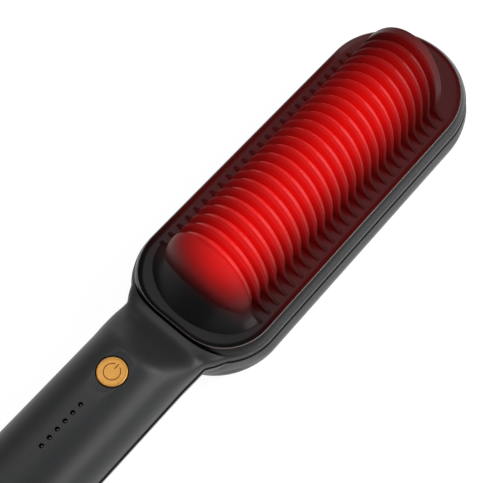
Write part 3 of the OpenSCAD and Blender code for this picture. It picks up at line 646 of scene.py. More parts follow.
def grain_group(name):
    """Fine moulded grain: a height for bumps and a mask for roughness."""
    build, given = new_tree("ShaderNodeTree", name, {"Grain Size": "Float"}, {"Height": "Float", "Mask": "Float"})
    place_on = build.on_object()
    fine = build.noise(place_on, build.maths("DIVIDE", 1.0, given["Grain Size"]), detail=2.0, roughness=0.6)
    build.add("NodeGroupOutput", {"Height": fine, "Mask": build.noise(place_on, scale=55.0, detail=3.0)})
    return build.tree


def handling_group(name):
    """Soft uneven patches and hairline scuffs from use, as a mask from 0 to the amount."""
    build, given = new_tree("ShaderNodeTree", name, {"Amount": "Float"}, {"Mask": "Float"})
    place_on = build.on_object()
    stretched = build.out("ShaderNodeMapping", {"Vector": place_on, "Scale": (40.0, 700.0, 500.0)})
    scuffs = build.noise(stretched, scale=1.0, detail=4.0, roughness=0.7)
    both = build.maths("MULTIPLY", scuffs, build.noise(place_on, scale=28.0, detail=2.0))
    build.add("NodeGroupOutput", {"Mask": build.ramp(both, 0.22, 0.42, high=given["Amount"])})
    return build.tree


def brushing_group(name):
    """Fine brushed lines along X: a height for bumps and a mask for roughness."""
    build, given = new_tree("ShaderNodeTree", name, {"Lines": "Float"}, {"Height": "Float", "Mask": "Float"})
    across = build.out("ShaderNodeCombineXYZ", {"X": 60.0, "Y": given["Lines"], "Z": given["Lines"]})
    drawn = build.vector("MULTIPLY", build.on_object(), across)
    lines = build.noise(drawn, scale=1.0, detail=3.0, roughness=0.6)
    build.add("NodeGroupOutput", {"Height": lines, "Mask": lines})
    return build.tree


def painted_glow_group(name):
    """How strongly the painted glow lights the comb at a point, from 0 to 1: brightest inside the hump, fading to both
    of its ends.
    """
    sockets = {"Reach": "Float", "Spill": "Float", "Deck": "Float"}
    build, given = new_tree("ShaderNodeTree", name, sockets, {"Heat": "Float"})
    place_on = build.on_object()
    x, _, z = build.add("ShaderNodeSeparateXYZ", {0: place_on}).outputs
    # The painted glow's core fades with the distance from a line along the hump
    away = build.vector("SUBTRACT", place_on, (0.0, -0.008, 0.050))
    distance = build.vector("LENGTH", build.vector("MULTIPLY", away, (0.0, 1.0, 1.0)))
    share = build.maths("DIVIDE", distance, given["Reach"])
    core = build.maths("EXPONENT", build.maths("MULTIPLY", build.maths("MULTIPLY", share, share), -1.0))
    # A weaker painted glow spills over the whole hump, and both fade at its ends
    whole = build.maths("ADD", core, build.soft_ramp(z, 0.024, 0.036, given["Spill"]))
    near = build.soft_ramp(build.maths("MULTIPLY_ADD", z, 0.4, x), 0.0215, 0.0425)
    far = build.soft_ramp(x, 0.128, 0.088)
    hump = build.maths("MULTIPLY", whole, build.maths("MULTIPLY", near, far))
    # The painted glow reaches the deck beside the hump too, less so towards the neck
    under, along = build.soft_ramp(z, 0.042, 0.026, given["Deck"]), build.soft_ramp(x, 0.008, 0.045)
    build.add("NodeGroupOutput", {"Heat": build.maths("MULTIPLY_ADD", under, along, hump)})
    return build.tree


# Finishes


def shade(rgb, factor):
    """The colour made lighter or darker."""
    return tuple(min(1.0, c * factor) for c in rgb)


class Finish(NodeTree):
    """A material built round one Principled shader, whose constants sit on the shader's own sockets."""

    def __init__(self, name, **constants):
        self.material = bpy.data.materials.new(name)
        self.material.use_nodes = True
        super().__init__(self.material.node_tree)
        self.shader = self.tree.nodes["Principled BSDF"]
        for key, value in constants.items():
            self.shader.inputs[key.replace("_", " ")].default_value = value

    def group(self, name, make, **values):
        """The outputs of a shared node group that has this finish's own values."""
        node = self.add("ShaderNodeGroup", node_tree=tree_named(name, make))
        for key, value in values.items():
            node.inputs[key.replace("_", " ")].default_value = value
        return node.outputs

    def feed(self, socket, value):
        """Links a value to one of the shader's sockets."""
        self.tree.links.new(value, self.shader.inputs[socket])

    def between(self, mask, low, high):
        """A number that goes from low to high with the mask."""
        return self.ramp(mask, 0.0, 1.0, low, high)

    def glowing(self, glow, **reach):
        """Paints a red glow into the finish as emission, following the painted glow mask, and gives that mask."""
        heat = self.group("heat", painted_glow_group, **reach)["Heat"]
        self.feed("Emission Color", self.blend(heat, (0, 0, 0), glow))
        return heat

    def surface(self, rgb, roughness, height, depth):
        """Feeds the shader a colour, a roughness and bumps of a depth in metres, and gives the material."""
        self.feed("Base Color", rgb)
        self.feed("Roughness", roughness)
        self.feed("Normal", self.out("ShaderNodeBump", {"Height": height, "Distance": depth}))
        return self.material


def moulded_plastic(name, rgb, roughness=0.38, specular=0.24, grain=0.00045, marks=0.3):
    """Moulded plastic with fine grain, uneven gloss and faint handling marks."""
    made = Finish(name, Specular_IOR_Level=specular)
    grains = made.group("moulded grain", grain_group, Grain_Size=grain)
    worn = made.group("handling marks", handling_group, Amount=marks)["Mask"]
    tone = made.blend(worn, shade(rgb, 0.92), shade(rgb, 1.5))
    uneven = made.between(grains["Mask"], roughness - 0.05, roughness + 0.07)
    gloss = made.maths("MULTIPLY_ADD", worn, -0.12, uneven)
    return made.surface(tone, gloss, grains["Height"], depth=0.000012)


def painted_glow_plastic(name, rgb, glow, strength, roughness, specular, **reach):
    """Black plastic of the comb, with a red glow painted into it as emission; it is rougher where that painted glow is
    strongest.
    """
    made = Finish(name, Specular_IOR_Level=specular, Emission_Strength=strength)
    grains = made.group("moulded grain", grain_group, Grain_Size=0.0003)
    tone = made.blend(grains["Mask"], shade(rgb, 0.85), shade(rgb, 1.3))
    uneven = made.between(grains["Mask"], roughness - 0.04, roughness + 0.05)
    dulled = made.maths("MULTIPLY_ADD", made.glowing(glow, **reach), 2.0, uneven, use_clamp=True)
    return made.surface(tone, dulled, grains["Height"], depth=0.000006)


def painted_glow_metal(name, rgb, glow, strength, **reach):
    """Anodised aluminium of the heating plate, with a red glow painted into it as emission where the painted glow mask
    is strongest.
    """
    made = Finish(name, Metallic=0.6, Emission_Strength=strength)
    lines = made.group("brushed lines", brushing_group, Lines=1800.0)
    made.glowing(glow, **reach)
    tone = made.blend(lines["Mask"], shade(rgb, 0.8), rgb)
    return made.surface(tone, made.between(lines["Mask"], 0.4, 0.6), lines["Height"], depth=0.000006)


def brushed_metal(name, rgb, roughness, lines=2500.0):
    """Plain metal with fine brushed lines."""
    made = Finish(name, Metallic=1.0)
    drawn = made.group("brushed lines", brushing_group, Lines=lines)
    tone = made.blend(drawn["Mask"], shade(rgb, 0.86), shade(rgb, 1.06))
    uneven = made.between(drawn["Mask"], roughness - 0.07, roughness + 0.1)
    return made.surface(tone, uneven, drawn["Height"], depth=0.000005)


def gold_paint(name, rgb, centre, face_z):
    """Satin gold of the button, with fine rings turned round its middle, and a darker painted shade below its face: in
    the sunk power sign and down its sides.
    """
    made = Finish(name, Metallic=0.75, Specular_IOR_Level=0.6)
    place_on = made.on_object()
    middle = made.out("ShaderNodeMapping", {"Vector": place_on, "Location": tuple(-c for c in centre)})
    radius = made.vector("LENGTH", made.vector("MULTIPLY", middle, (1.0, 1.0, 0.0)))
    rings = made.out("ShaderNodeTexNoise", {"W": radius, "Scale": 9000.0, "Detail": 2.0}, noise_dimensions="1D")
    mottled = made.blend(made.noise(place_on, scale=700.0, detail=2.0), shade(rgb, 0.85), shade(rgb, 1.12))
    height = made.add("ShaderNodeSeparateXYZ", {0: place_on}).outputs["Z"]
    on_face = made.ramp(height, face_z - 0.0002, face_z - 0.0001)
    # Painted shade: below the face, in the sunk power sign and down the sides in the gap, the gold turns dark brown
    tone = made.blend(on_face, (0.16, 0.05, 0.004), mottled)
    return made.surface(tone, made.between(rings, 0.34, 0.5), rings, depth=0.000004)


def glazed(name, rgb, fleck, scale, roughness):
    """A mineral, rubber or enamel surface with soft flecks of a second colour."""
    made = Finish(name, Specular_IOR_Level=0.5)
    cloud = made.noise(made.on_object(), scale, detail=4.0)
    uneven = made.between(cloud, roughness - 0.06, roughness + 0.08)
    return made.surface(made.blend(cloud, rgb, fleck), uneven, cloud, depth=0.00001)


def circuit_laminate(name):
    """Green circuit board: paler copper tracks under the lacquer, on a square grid."""
    made = Finish(name, Specular_IOR_Level=0.5)
    blocks = made.out("ShaderNodeMapping", {"Vector": made.on_object(), "Scale": (420.0, 420.0, 0.0)})
    grid = {"distance": "CHEBYCHEV", "feature": "DISTANCE_TO_EDGE"}
    edges = made.add("ShaderNodeTexVoronoi", {"Vector": blocks, "Scale": 1.0}, **grid).outputs["Distance"]
    line = made.ramp(edges, 0.05, 0.09)
    tone = made.blend(line, (0.07, 0.24, 0.08), (0.012, 0.085, 0.03))
    return made.surface(tone, made.between(line, 0.3, 0.38), line, depth=0.00002)


# Pieces


def shell_half(name, size, ring, skin_end, hollow_end):
    """One half of the handle: a skin over its rings, hollowed out inside the wall."""
    shell = loft(name, [ring(size, x) for x in handle_stations(size, size.end_x, skin_end)])
    inner = handle_stations(size, size.end_x + size.wall, hollow_end)
    cut(shell, loft("hollow", [hollow_ring(size, x) for x in inner]))
    return shell


def collar_bore(size):
    """The tool that opens the handle's end for the cord outlet."""
    return disc(size.collar_r, (0, 0, size.handle_mid), size.end_x - 1, size.end_x + 8, axis="X")


def front_shell(size, finish):
    """Upper half of the handle, running into the ring of shell round the comb's band."""
    neck_end = size.near_x + 0.42 * size.near_r
    shell = shell_half("front_shell_skin", size, upper_ring, neck_end, neck_end + 1)
    o, top, inside = size.overhang, size.ledge_z, -1.2
    edge = [(o + out, h) for out, h in front_edge(size)]
    shoulder = [edge[-1], (o - 0.05, top - 1.8), (o - 0.3, top - 0.7), (o - 0.8, top - 0.15), (0, top)]
    profile = [(inside, size.parting_z), *edge, *smooth_line(shoulder, 14)[1:], (inside, top)]
    join(shell, tuck_in(size, swept("ring", size, profile)))
    cut(
        shell,
        prism("tool", rim_outline(size, 0.15), top, CLEAR),
        prism("tool", rim_outline(size, inside), size.parting_z - 1, CLEAR),
    )
    middle, hole = (size.button_x, 0, 0), size.button_r + size.button_gap
    bezel_w, bezel_d = 3, 2.4
    join(shell, disc(size.button_r + bezel_w, middle, size.inner_top - bezel_d, size.inner_top + 0.3))
    ball = (size.dish_r**2 + size.dish_depth**2) / (2 * size.dish_depth)
    dish = [(ball * math.sin(a), -ball * math.cos(a)) for a in np.linspace(0, 0.5, 60)] + [(0, 0)]
    cut(
        shell,
        disc(hole + 0.1, middle, 0, CLEAR),
        turned("tool", dish, (size.button_x, 0, size.handle_top - size.dish_depth + ball), steps=128),
        disc(hole + 1, middle, 0, size.seat_z),
        collar_bore(size),
    )
    window_gap = 0.22
    windows = disc(size.light_r + window_gap, (0, 0, 0), size.parting_z, CLEAR, steps=HOLE_ROUND)
    copy_lights(windows, size)
    cut(shell, windows)
    dress(shell, finish, "brush", ["front_shell"])


def head_bowl(size):
    """The head's deep back: its flank and rim carried round the head, over a flat floor."""
    edge_out, power = size.overhang + size.bulge, 2 / FLANK_OVAL

    def flank(inset, steps):
        reach, drop = size.flank_w - inset, size.flank_h - inset
        start = edge_out - size.flank_w
        return [(start + reach * s**power, size.flank_h - drop * c**power) for s, c in quarter(steps + 1)]

    rim = [(size.overhang + out, h) for out, h in rear_edge(size)]
    lip = [(edge_out - 0.1, size.flank_h + 1.6), (rim[0][0] + 0.15, size.parting_z - 1.2), *rim]
    lip.append((size.overhang - size.wall, size.parting_z - size.seam_depth))
    middle = size.flank_w - edge_out + 4
    inner = reversed(flank(size.wall, 20))
    bowl = swept("bowl", size, [(-middle, 0), *flank(0, 40), *lip, *inner, (-middle, size.wall)])
    for point in bowl.data.vertices:
        x, y, z = point.co / MM
        below, turn = soft_step(z, size.parting_z, size.parting_z - 4), near_turn(size, x)
        pull = 4 * turn**2 * (1 - turn**2) * size.corner_in * below * soft_step(z, 6, 12)
        point.co.x += (pull * turn - size.near_bulge * turn**2 * below) * MM
        point.co.y -= math.copysign(pull * math.sqrt(1 - turn**2), y) * MM
    join(tuck_in(size, bowl), prism("floor", head_outline(size, -middle + 0.5), 0, size.wall))
    return bowl


def rear_shell(size, finish):
    """Lower half of the handle and the head's deep back, rounded all round."""
    shell = shell_half("rear_shell_skin", size, lower_ring, size.near_x + 6, size.near_x + 8)
    cut(shell, prism("tool", head_outline(size, size.overhang - size.wall), size.wall, CLEAR))
    half, top, sill_h = size.handle_hw - 5, size.parting_z, 1.4
    start, end = size.end_x + 0.3, size.end_x + size.wall + 0.2
    sill = box("end_sill", (start, -half, top - 0.1 - sill_h), (end, half, top - 0.1))
    join(shell, head_bowl(size), sill)
    low = size.handle_bottom + size.wall + 1
    cut(shell, box("tool", (size.near_x - 4, -half, low), (size.near_x + 5, half, CLEAR)), collar_bore(size))
    boss_r, hole_r, head_r = 3.6, 1.5, 2.9
    for x, y, seat in screw_places(size):
        foot, boss_top = (0.5, size.boss_top) if x > size.near_x else (size.handle_bottom + 1.6, top)
        join(shell, disc(boss_r, (x, y, 0), foot, boss_top, steps=BOSS_ROUND))
        hole = disc(hole_r, (x, y, 0), -1, CLEAR, steps=HOLE_ROUND)
        cut(shell, hole, disc(head_r, (x, y, 0), -1, seat, steps=BOSS_ROUND))
    dress(shell, finish, "brush", ["rear_shell"])


def screw_places(size):
    """Places of the shell screws, with the height of the seat that each head rests on."""
    grip, near, far = size.end_x + size.grip_back, size.near_x + 14, size.far_cx + 11
    pairs = ((grip, 7, size.handle_bottom + 4), (near, 12, 3), (far, 9, 3))
    return [(x, y, seat) for x, half, seat in pairs for y in (-half, half)]


def tuck_in(size, ring):
    """Moves a ring of shell in a little at the tip, where it hides behind the band."""
    for point in ring.data.vertices:
        point.co.x -= size.tip_tuck * clamp((point.co.x / MM - size.far_cx) / size.band_hw) ** 2 * MM
    return ring


def draw_in_rim(size, ring):
    """Moves a ring of the comb cover in at the neck, and in towards its top at the tip."""
    middle = 0.5 * (size.near_cx + size.far_cx)
    for point in ring.data.vertices:
        x, _, z = point.co / MM
        tip = clamp((x - middle) / (size.far_cx - middle)) * clamp((z - size.ledge_z) / size.band_h)
        near = near_shift(size, x) if z > size.floor_z - 1.5 else 0
        point.co.x += (near - size.far_in * tip) * MM
    return ring


def comb_band(size, finish):
    """The glossy black band outside the comb's rim."""
    top, ledge = size.rim_z, size.ledge_z
    slope = [(0, ledge), (-0.1, ledge + 0.6), (-0.55, top - 1.3), (-0.95, top - 0.42), (-1.05, top - 0.2)]
    band = draw_in_rim(size, swept("comb_band", size, [*slope, (-1.3, top - 0.2), (-1.3, ledge)]))
    dress(band, finish, "brush", [], crease=40)


def comb_lip(size, finish):
    """The thin edge of the comb's rim inside the band, given a paler colour than the black comb as a painted highlight.
    """
    top = size.rim_z
    edge = [(-1.05, top - 0.3), (-1.07, top - 0.12), (-1.2, top), (-1.34, top - 0.03), (-1.42, top - 0.3)]
    lip = draw_in_rim(size, swept("comb_lip", size, edge))
    dress(lip, finish, "brush", [], crease=60)


def comb_rim(size):
    """The comb's rim, from its thin lip down to the deck, and the skirt that drops into the shell."""
    top, rail, floor, foot = size.rim_z, size.rail_z, size.floor_z, size.parting_z + 0.6
    lip = [(-1.1, top - 0.35), (-1.2, top - 0.12), (-1.4, top - 0.1), (-1.75, top - 0.3)]
    shelf = [(-2.05, top - 0.62), (-2.5, rail + 0.28), (-3.3, rail + 0.06), (-6.6, rail)]
    inside = [(-6.8, rail - 0.3), (-4.8, floor + 0.3), (-2.8, floor - 0.4), (-2.8, foot), (-1.4, foot)]
    return draw_in_rim(size, swept("comb_rim", size, [*smooth_line(lip + shelf, 34), *inside]))


def nose_surface(size, inset, ramp):
    """The comb's rounded nose, as a closed body whose flat side lies at the first rib.

    It is an oval in all three views. With a ramp, its foot runs out on the deck in a soft hollow curve.
    """
    long, half, high = size.nose_l - inset, size.hump_hw - inset, size.hump_h - inset
    turns, square, under = 64, 0.72, -size.rail_drop - 0.6
    rows = []
    for angle in math.pi * (np.arange(turns + 1) / turns - 0.5):
        forward, side = math.cos(angle), math.sin(angle)
        plan_x, plan_y = -abs(forward) ** square, math.copysign(abs(side) ** square, side)
        # The oval ends at this height, and the ramp begins there
        foot_z = 4.5 + 2.5 * forward**2 if ramp else under
        sunk = np.linspace(0, math.acos(min(1, max(-0.05, foot_z / high))), 34)
        row = [(long * plan_x * math.sin(t), half * plan_y * math.sin(t), high * math.cos(t)) for t in sunk]
        if ramp:
            # The point that the ramp's curve bends towards
            bend = (10.4 * plan_x, 16.7 * plan_y, 1.2 + 1.6 * forward**2)
            end = (-forward * size.nose_foot, side * size.nose_foot_hw, -size.rail_drop)
            row += [*bezier(row[-1], bend, end, 16), (*end[:2], under)]
        rows.append(row)
    count = len(rows[0])
    last = turns * count
    faces = [
        (a + k, a + k + 1, a + count + k + 1, a + count + k) for a in range(0, last, count) for k in range(count - 1)
    ]
    faces.append((*range(count - 1, 0, -1), *range(last, last + count)))
    faces.append(tuple(range(count - 1, last + count, count)))
    return solid("nose", np.array(rows) + (size.rib_x0, 0, size.rim_z), faces)


def comb_frame(size, finish):
    """Rim, deck, nose and end cap of the comb cover."""
    cover = comb_rim(size)
    deck = prism("deck", rim_outline(size, -6.0), size.floor_z, size.rail_z)
    window = size.hump_hw - 2.3
    cut(deck, box("tool", (size.rib_x0 - 1.8, -window, 0), (size.rib_end_x, window, CLEAR)))
    nose = nose_surface(size, 0, True)
    cut(nose, nose_surface(size, 2, False))
    join(cover, deck, nose, end_cap(size))
    post_x, post_y, post_r, boss_r = size.rib_x0 - 4.6, 5, 2.2, 2.8
    for y in (-post_y, post_y):
        join(cover, disc(post_r, (post_x, y, 0), size.floor_z, size.rim_z + 4, steps=HOLE_ROUND))
    for x, y, _ in screw_places(size)[2:]:
        join(cover, disc(boss_r, (x, y, 0), size.boss_top, size.floor_z + 1, steps=HOLE_ROUND))
    dress(cover, finish, "brush", ["comb_cover"], crease=40)


def end_cap(size):
    """The wall that closes the hump's far end, with its outer edge rounded over."""
    low, edge = size.foot_from_rim, 0.4
    rings = []
    for out, inset in [(0, 0), *((size.cap_l - edge * (1 - s), edge * (1 - c)) for s, c in quarter(9))]:
        w, h = size.hump_hw - inset, size.hump_h - inset
        arch = [(w * math.sin(a), h * math.cos(a)) for a in np.linspace(-math.pi / 2, math.pi / 2, 65)]
        rings.append([(size.rib_end_x + out, y, size.rim_z + z) for y, z in [(-w, low), *arch, (w, low)]])
    return loft("cap", rings)


def rib_outline(size):
    """Outer and inner line of a rib, from its right foot over the crest to its left foot."""
    side_z, fall = 4.5, 0.012
    side, land = math.acos(side_z / size.hump_h), math.asin(size.land_hw / size.hump_hw)

    def crest(a, lower=0.0):
        return (size.hump_hw * math.sin(a), size.hump_h * math.cos(a) - lower)

    outer = [crest(a) for a in np.linspace(0, land, 8)]
    outer.append(crest(land + fall, size.land_h))
    outer += [crest(a, size.land_h * (side - a) / (side - land)) for a in np.linspace(land, side, 34)[1:]]
    outer += bezier(crest(side), (size.hump_hw + 0.1, 1.2), (size.foot_hw, -size.rail_drop), 12)
    outer.append((size.foot_hw, size.foot_from_rim))
    inner_hw, inner_h = size.hump_hw - size.rib_d, size.hump_h - size.rib_d
    inner = even([*((inner_hw * s, inner_h * c) for s, c in quarter(120)), (inner_hw, size.foot_from_rim)], len(outer))
    return [np.array([*((-y, z) for y, z in line[:0:-1]), *line]) for line in (outer, inner)]


def ribs(size, finish):
    """The comb's arched ribs: one rib with rounded edges, copied along the head by Geometry Nodes."""
    edge, half_t = 0.16, size.rib_t / 2
    bevel = [(edge * (1 - c), half_t - edge * (1 - s)) for s, c in quarter(4)]
    rings = []
    for a, b in zip(*rib_outline(size)):
        deep = np.linalg.norm(b - a)
        line = [*bevel, (deep, half_t), (deep, -half_t), *((d, -x) for d, x in reversed(bevel))]
        rings.append([(x, *(a + (b - a) / deep * d + (0, size.rim_z))) for d, x in line])
    rib = loft("comb_ribs", rings)
    copy_row(rib, size.rib_count, size.rib_pitch, size.rib_x0, Material=finish)
    dress(rib, finish, "brush", [], crease=40)


def power_button(size, finish):
    """The round button, with a thin rounded edge, its flange, and a power sign cut into its face."""
    x, r, top, face = size.button_x, size.button_r, size.button_top, size.button_top - size.face_drop
    foot, stem, edge, high, low = 24.3, 2, 0.42, size.seat_z - 0.05, size.seat_z - 1.15
    flange = [(0, foot), (stem, foot), (stem, low), (r + 1, low), (r + 1, high), (r, high)]
    shoulder = [(r - edge * (1 - c), top - edge * (1 - s)) for s, c in quarter(8)]
    hollow = [(r - edge - 0.25, top - 0.07), (r - edge - 0.6, face), (0, face)]
    button = turned("power_button_cap", [*flange, *shoulder, *hollow], (x, 0, 0))
    ring_out, ring_in, gap, bar, sunk, over = 2.68, 2.38, 0.85, 0.16, top - 0.32, top + 1
    ring = disc(ring_out, (x, 0, 0), sunk, over)
    inside = disc(ring_in, (x, 0, 0), sunk - 1, over + 1)
    cut(ring, inside, box("tool", (x, -gap, sunk - 1), (x + 4, gap, over + 1)))
    cut(button, ring, box("tool", (x + 1.1, -bar, sunk), (x + 3.0, bar, over)))
    dress(button, finish, "button", ["power_button"], crease=30)


def copy_lights(obj, size, **more):
    """Turns a window or a lens into the whole row of them."""
    copy_row(obj, size.light_count, -size.light_pitch, size.light_x0, **more)


def light_lenses(size, finish):
    """The small domed lenses of the indicator lights, copied along the handle by Geometry Nodes."""
    top, foot, r, dome_h = size.handle_top - 0.9, 21, size.light_r, 0.18
    dome = [(r * c, top - dome_h * (1 - s)) for s, c in quarter(6)]
    lenses = turned("light_lenses", [(0, foot), (r, foot), *dome], (0, 0, 0), steps=LENS_ROUND)
    copy_lights(lenses, size, Material=finish)
    x, pitch, half, thick, rail_z = size.light_x0, size.light_pitch, 2, 1.6, size.inner_top - 1.78
    start, stop = x - (size.light_count - 0.2) * pitch, x + 0.6 * pitch
    join(lenses, box("light_rail", (start, -half, rail_z), (stop, half, rail_z + thick)))
    dress(lenses, finish, "brush", ["light_guide"])


def cord_outlet(size, finish):
    """The cord swivel at the handle's end: a flange with a rounded edge round the cord's bore."""
    bore, flange, spindle, stop = 3.1, 7.2, 5.0, 7.0
    edge, thick, stop_at, end = 0.5, 1.8, 14.2, 15.8
    outer = [(flange - edge * (1 - s), edge * (1 - c)) for s, c in quarter(7)]
    back = [(flange, thick - 0.5), (flange - 0.5, thick), (spindle, thick), (spindle, stop_at), (stop, stop_at)]
    mouth = [(stop, end), (bore, end), (bore, 0.6), (bore + 0.18, 0.18), (bore + 0.6, 0)]
    swivel = turned("cord_outlet", [*outer, *back, *mouth], (size.end_x - 2, 0, size.handle_mid), axis="X")
    dress(swivel, finish, "swivel", ["cord_swivel"], crease=35)


# Stage


def studio(floor_rgb):
    """Camera at the photograph's angle, pale floor, plain world and soft lamps."""
    scene = bpy.context.scene
    scene.view_settings.view_transform = "Standard"
    camera = bpy.data.cameras.new("camera")
    camera.sensor_fit, camera.sensor_width, camera.lens = "HORIZONTAL", 36, 77.2
    camera.clip_start, camera.clip_end = 0.01, 30
    # The camera's axes and its place in metres, solved from the outlines of the rim, the ribs and the button
    right, up, back = (0.64996, -0.75993, 0.01348), (0.68492, 0.59336, 0.42293), (-0.32941, -0.26561, 0.90611)
    stand = (-0.07246, -0.08488, 0.32239)
    seat = scene.camera = place("camera", camera)
    seat.matrix_world = Matrix([(*row, at) for row, at in zip(zip(right, up, back), stand)] + [(0, 0, 0, 1)])

    half, below = 9.0, 0.0002
    floor = bpy.data.meshes.new("floor")
    floor.from_pydata([(-half, -half, 0), (half, -half, 0), (half, half, 0), (-half, half, 0)], [], [(0, 1, 2, 3)])
    floor.materials.append(floor_finish(floor_rgb))
    ground = place("floor", floor)
    ground.location.z = -below

    world = scene.world = bpy.data.worlds.new("studio")
    world.use_nodes = True
    air = NodeTree(world.node_tree)
    sky = air.add("ShaderNodeTexCoord").outputs["Generated"]
    height = air.add("ShaderNodeSeparateXYZ", {0: sky}).outputs["Z"]
    level = air.ramp(height, 0.05, 0.45, low=0.92, high=0.30)
    world.node_tree.links.new(level, world.node_tree.nodes["Background"].inputs["Color"])

    aim = Vector((0.0, 0.0, 0.02))
    # Each lamp's name, place, width and length in metres, and power in watts
    for name, spot, (wide, high), power in (
        ("key", (0.42, -0.92, 0.52), (1.4, 0.70), 14.0),
        ("fill", (-0.55, 0.65, 0.80), (0.8, 0.8), 2.5),
        ("top", (0.26, 0.26, 1.00), (0.8, 0.5), 3.0),
        ("neck", (0.55, -0.45, 0.70), (0.3, 0.3), 2.2),
    ):
        lamp = bpy.data.lights.new(name, "AREA")
        lamp.shape, lamp.size, lamp.size_y, lamp.energy = "RECTANGLE", wide, high, power
        holder = place(name, lamp)
        holder.location = spot
        holder.rotation_euler = (Vector(spot) - aim).to_track_quat("Z", "Y").to_euler()


def floor_finish(rgb):
    """Plain pale floor, near white in the picture and in reflections, that still shows a soft shadow."""
    material = bpy.data.materials.new("plain floor")
    material.use_nodes = True
    build = NodeTree(material.node_tree)
    build.tree.nodes.clear()
    tone = build.blend(build.noise(build.on_object(), scale=3.0, detail=2.0), shade(rgb, 0.99), rgb)
    matt = build.out("ShaderNodeBsdfDiffuse", {"Color": tone})
    white, share = 1.14, 0.75
    bright = build.out("ShaderNodeEmission", {"Color": (1, 1, 1, 1), "Strength": white})
    ray = build.add("ShaderNodeLightPath").outputs
    seen = build.maths("ADD", ray["Is Camera Ray"], ray["Is Glossy Ray"])
    seen = build.maths("ADD", seen, ray["Is Transmission Ray"], use_clamp=True)
    both = build.out("ShaderNodeMixShader", {0: build.maths("MULTIPLY", seen, share), 1: matt, 2: bright})
    build.add("ShaderNodeOutputMaterial", {"Surface": both})
    return material


# Operators, one for each piece or group of like pieces


class PieceOperator(bpy.types.Operator):
    """Base of the operators: gives them the sizes in millimetres and the plain colours."""

    bl_options = {"REGISTER", "UNDO"}

    def execute(self, context):
        colours = {key: tuple(rgb) for key, rgb in values_of(context.scene.brush_colours).items()}
        self.make(in_millimetres(context.scene.brush_sizes), SimpleNamespace(**colours))
        return {"FINISHED"}


class HAIRBRUSH_OT_stage(PieceOperator):
    """Sets up the camera, the pale floor and the studio light"""

    bl_idname = "hairbrush.stage"
    bl_label = "Studio stage"

    def make(self, size, colours):
        studio(colours.floor)


class HAIRBRUSH_OT_shells(PieceOperator):
    """Makes the two moulded shells of the handle and head"""

    bl_idname = "hairbrush.shells"
    bl_label = "Handle and head shells"

    def make(self, size, colours):
        finish = moulded_plastic("charcoal plastic", colours.shell)
        front_shell(size, finish)
        rear_shell(size, finish)


class HAIRBRUSH_OT_comb_frame(PieceOperator):
    """Makes the comb cover's band, lip, deck, nose and end cap"""

    bl_idname = "hairbrush.comb_frame"
    bl_label = "Comb frame"

    def make(self, size, colours):
        # The painted glow: strength is its emission, and Reach, Spill and Deck spread it over the comb
        look = {"strength": 0.7, "roughness": 0.3, "specular": 0.12}
        reach = {"Reach": 0.0135, "Spill": 0.12, "Deck": 0.07}
        comb_frame(size, painted_glow_plastic("comb frame plastic", colours.comb, colours.glow, **look, **reach))
        look = {"roughness": 0.26, "specular": 0.13, "marks": 0.1}
        comb_band(size, moulded_plastic("black band", (0.0030, 0.0021, 0.0019), **look))
        # Painted highlight: the lip is coloured paler than the black comb
        look = {"roughness": 0.3, "specular": 0.4, "marks": 0.1}
        comb_lip(size, moulded_plastic("rim edge", (0.10, 0.078, 0.072), **look))


class HAIRBRUSH_OT_ribs(PieceOperator):
    """Makes the row of arched comb ribs"""

    bl_idname = "hairbrush.ribs"
    bl_label = "Comb ribs"

    def make(self, size, colours):
        # The painted glow on the ribs: strength is its emission, and Reach, Spill and Deck spread it
        look = {"strength": 0.66, "roughness": 0.34, "specular": 0.012}
        reach = {"Reach": 0.0125, "Spill": 0.12, "Deck": 0.05}
        ribs(size, painted_glow_plastic("comb rib plastic", colours.comb, colours.glow, **look, **reach))


class HAIRBRUSH_OT_button(PieceOperator):
    """Makes the round power button"""

    bl_idname = "hairbrush.button"
    bl_label = "Power button"

    def make(self, size, colours):
        centre, face_z = (size.button_x * MM, 0, 0), (size.button_top - size.face_drop) * MM
        power_button(size, gold_paint("button gold", colours.button, centre, face_z))


class HAIRBRUSH_OT_lights(PieceOperator):
    """Makes the row of indicator lights"""

    bl_idname = "hairbrush.lights"
    bl_label = "Indicator lights"

    def make(self, size, colours):
        look = {"scale": 900.0, "roughness": 0.15}
        light_lenses(size, glazed("smoked lens", (0.004, 0.004, 0.004), (0.008, 0.008, 0.009), **look))


class HAIRBRUSH_OT_cord_outlet(PieceOperator):
    """Makes the turning cord outlet at the handle's end"""

    bl_idname = "hairbrush.cord_outlet"
    bl_label = "Cord outlet"

    def make(self, size, colours):
        cord_outlet(size, moulded_plastic("black nylon", (0.010, 0.010, 0.011), roughness=0.45))


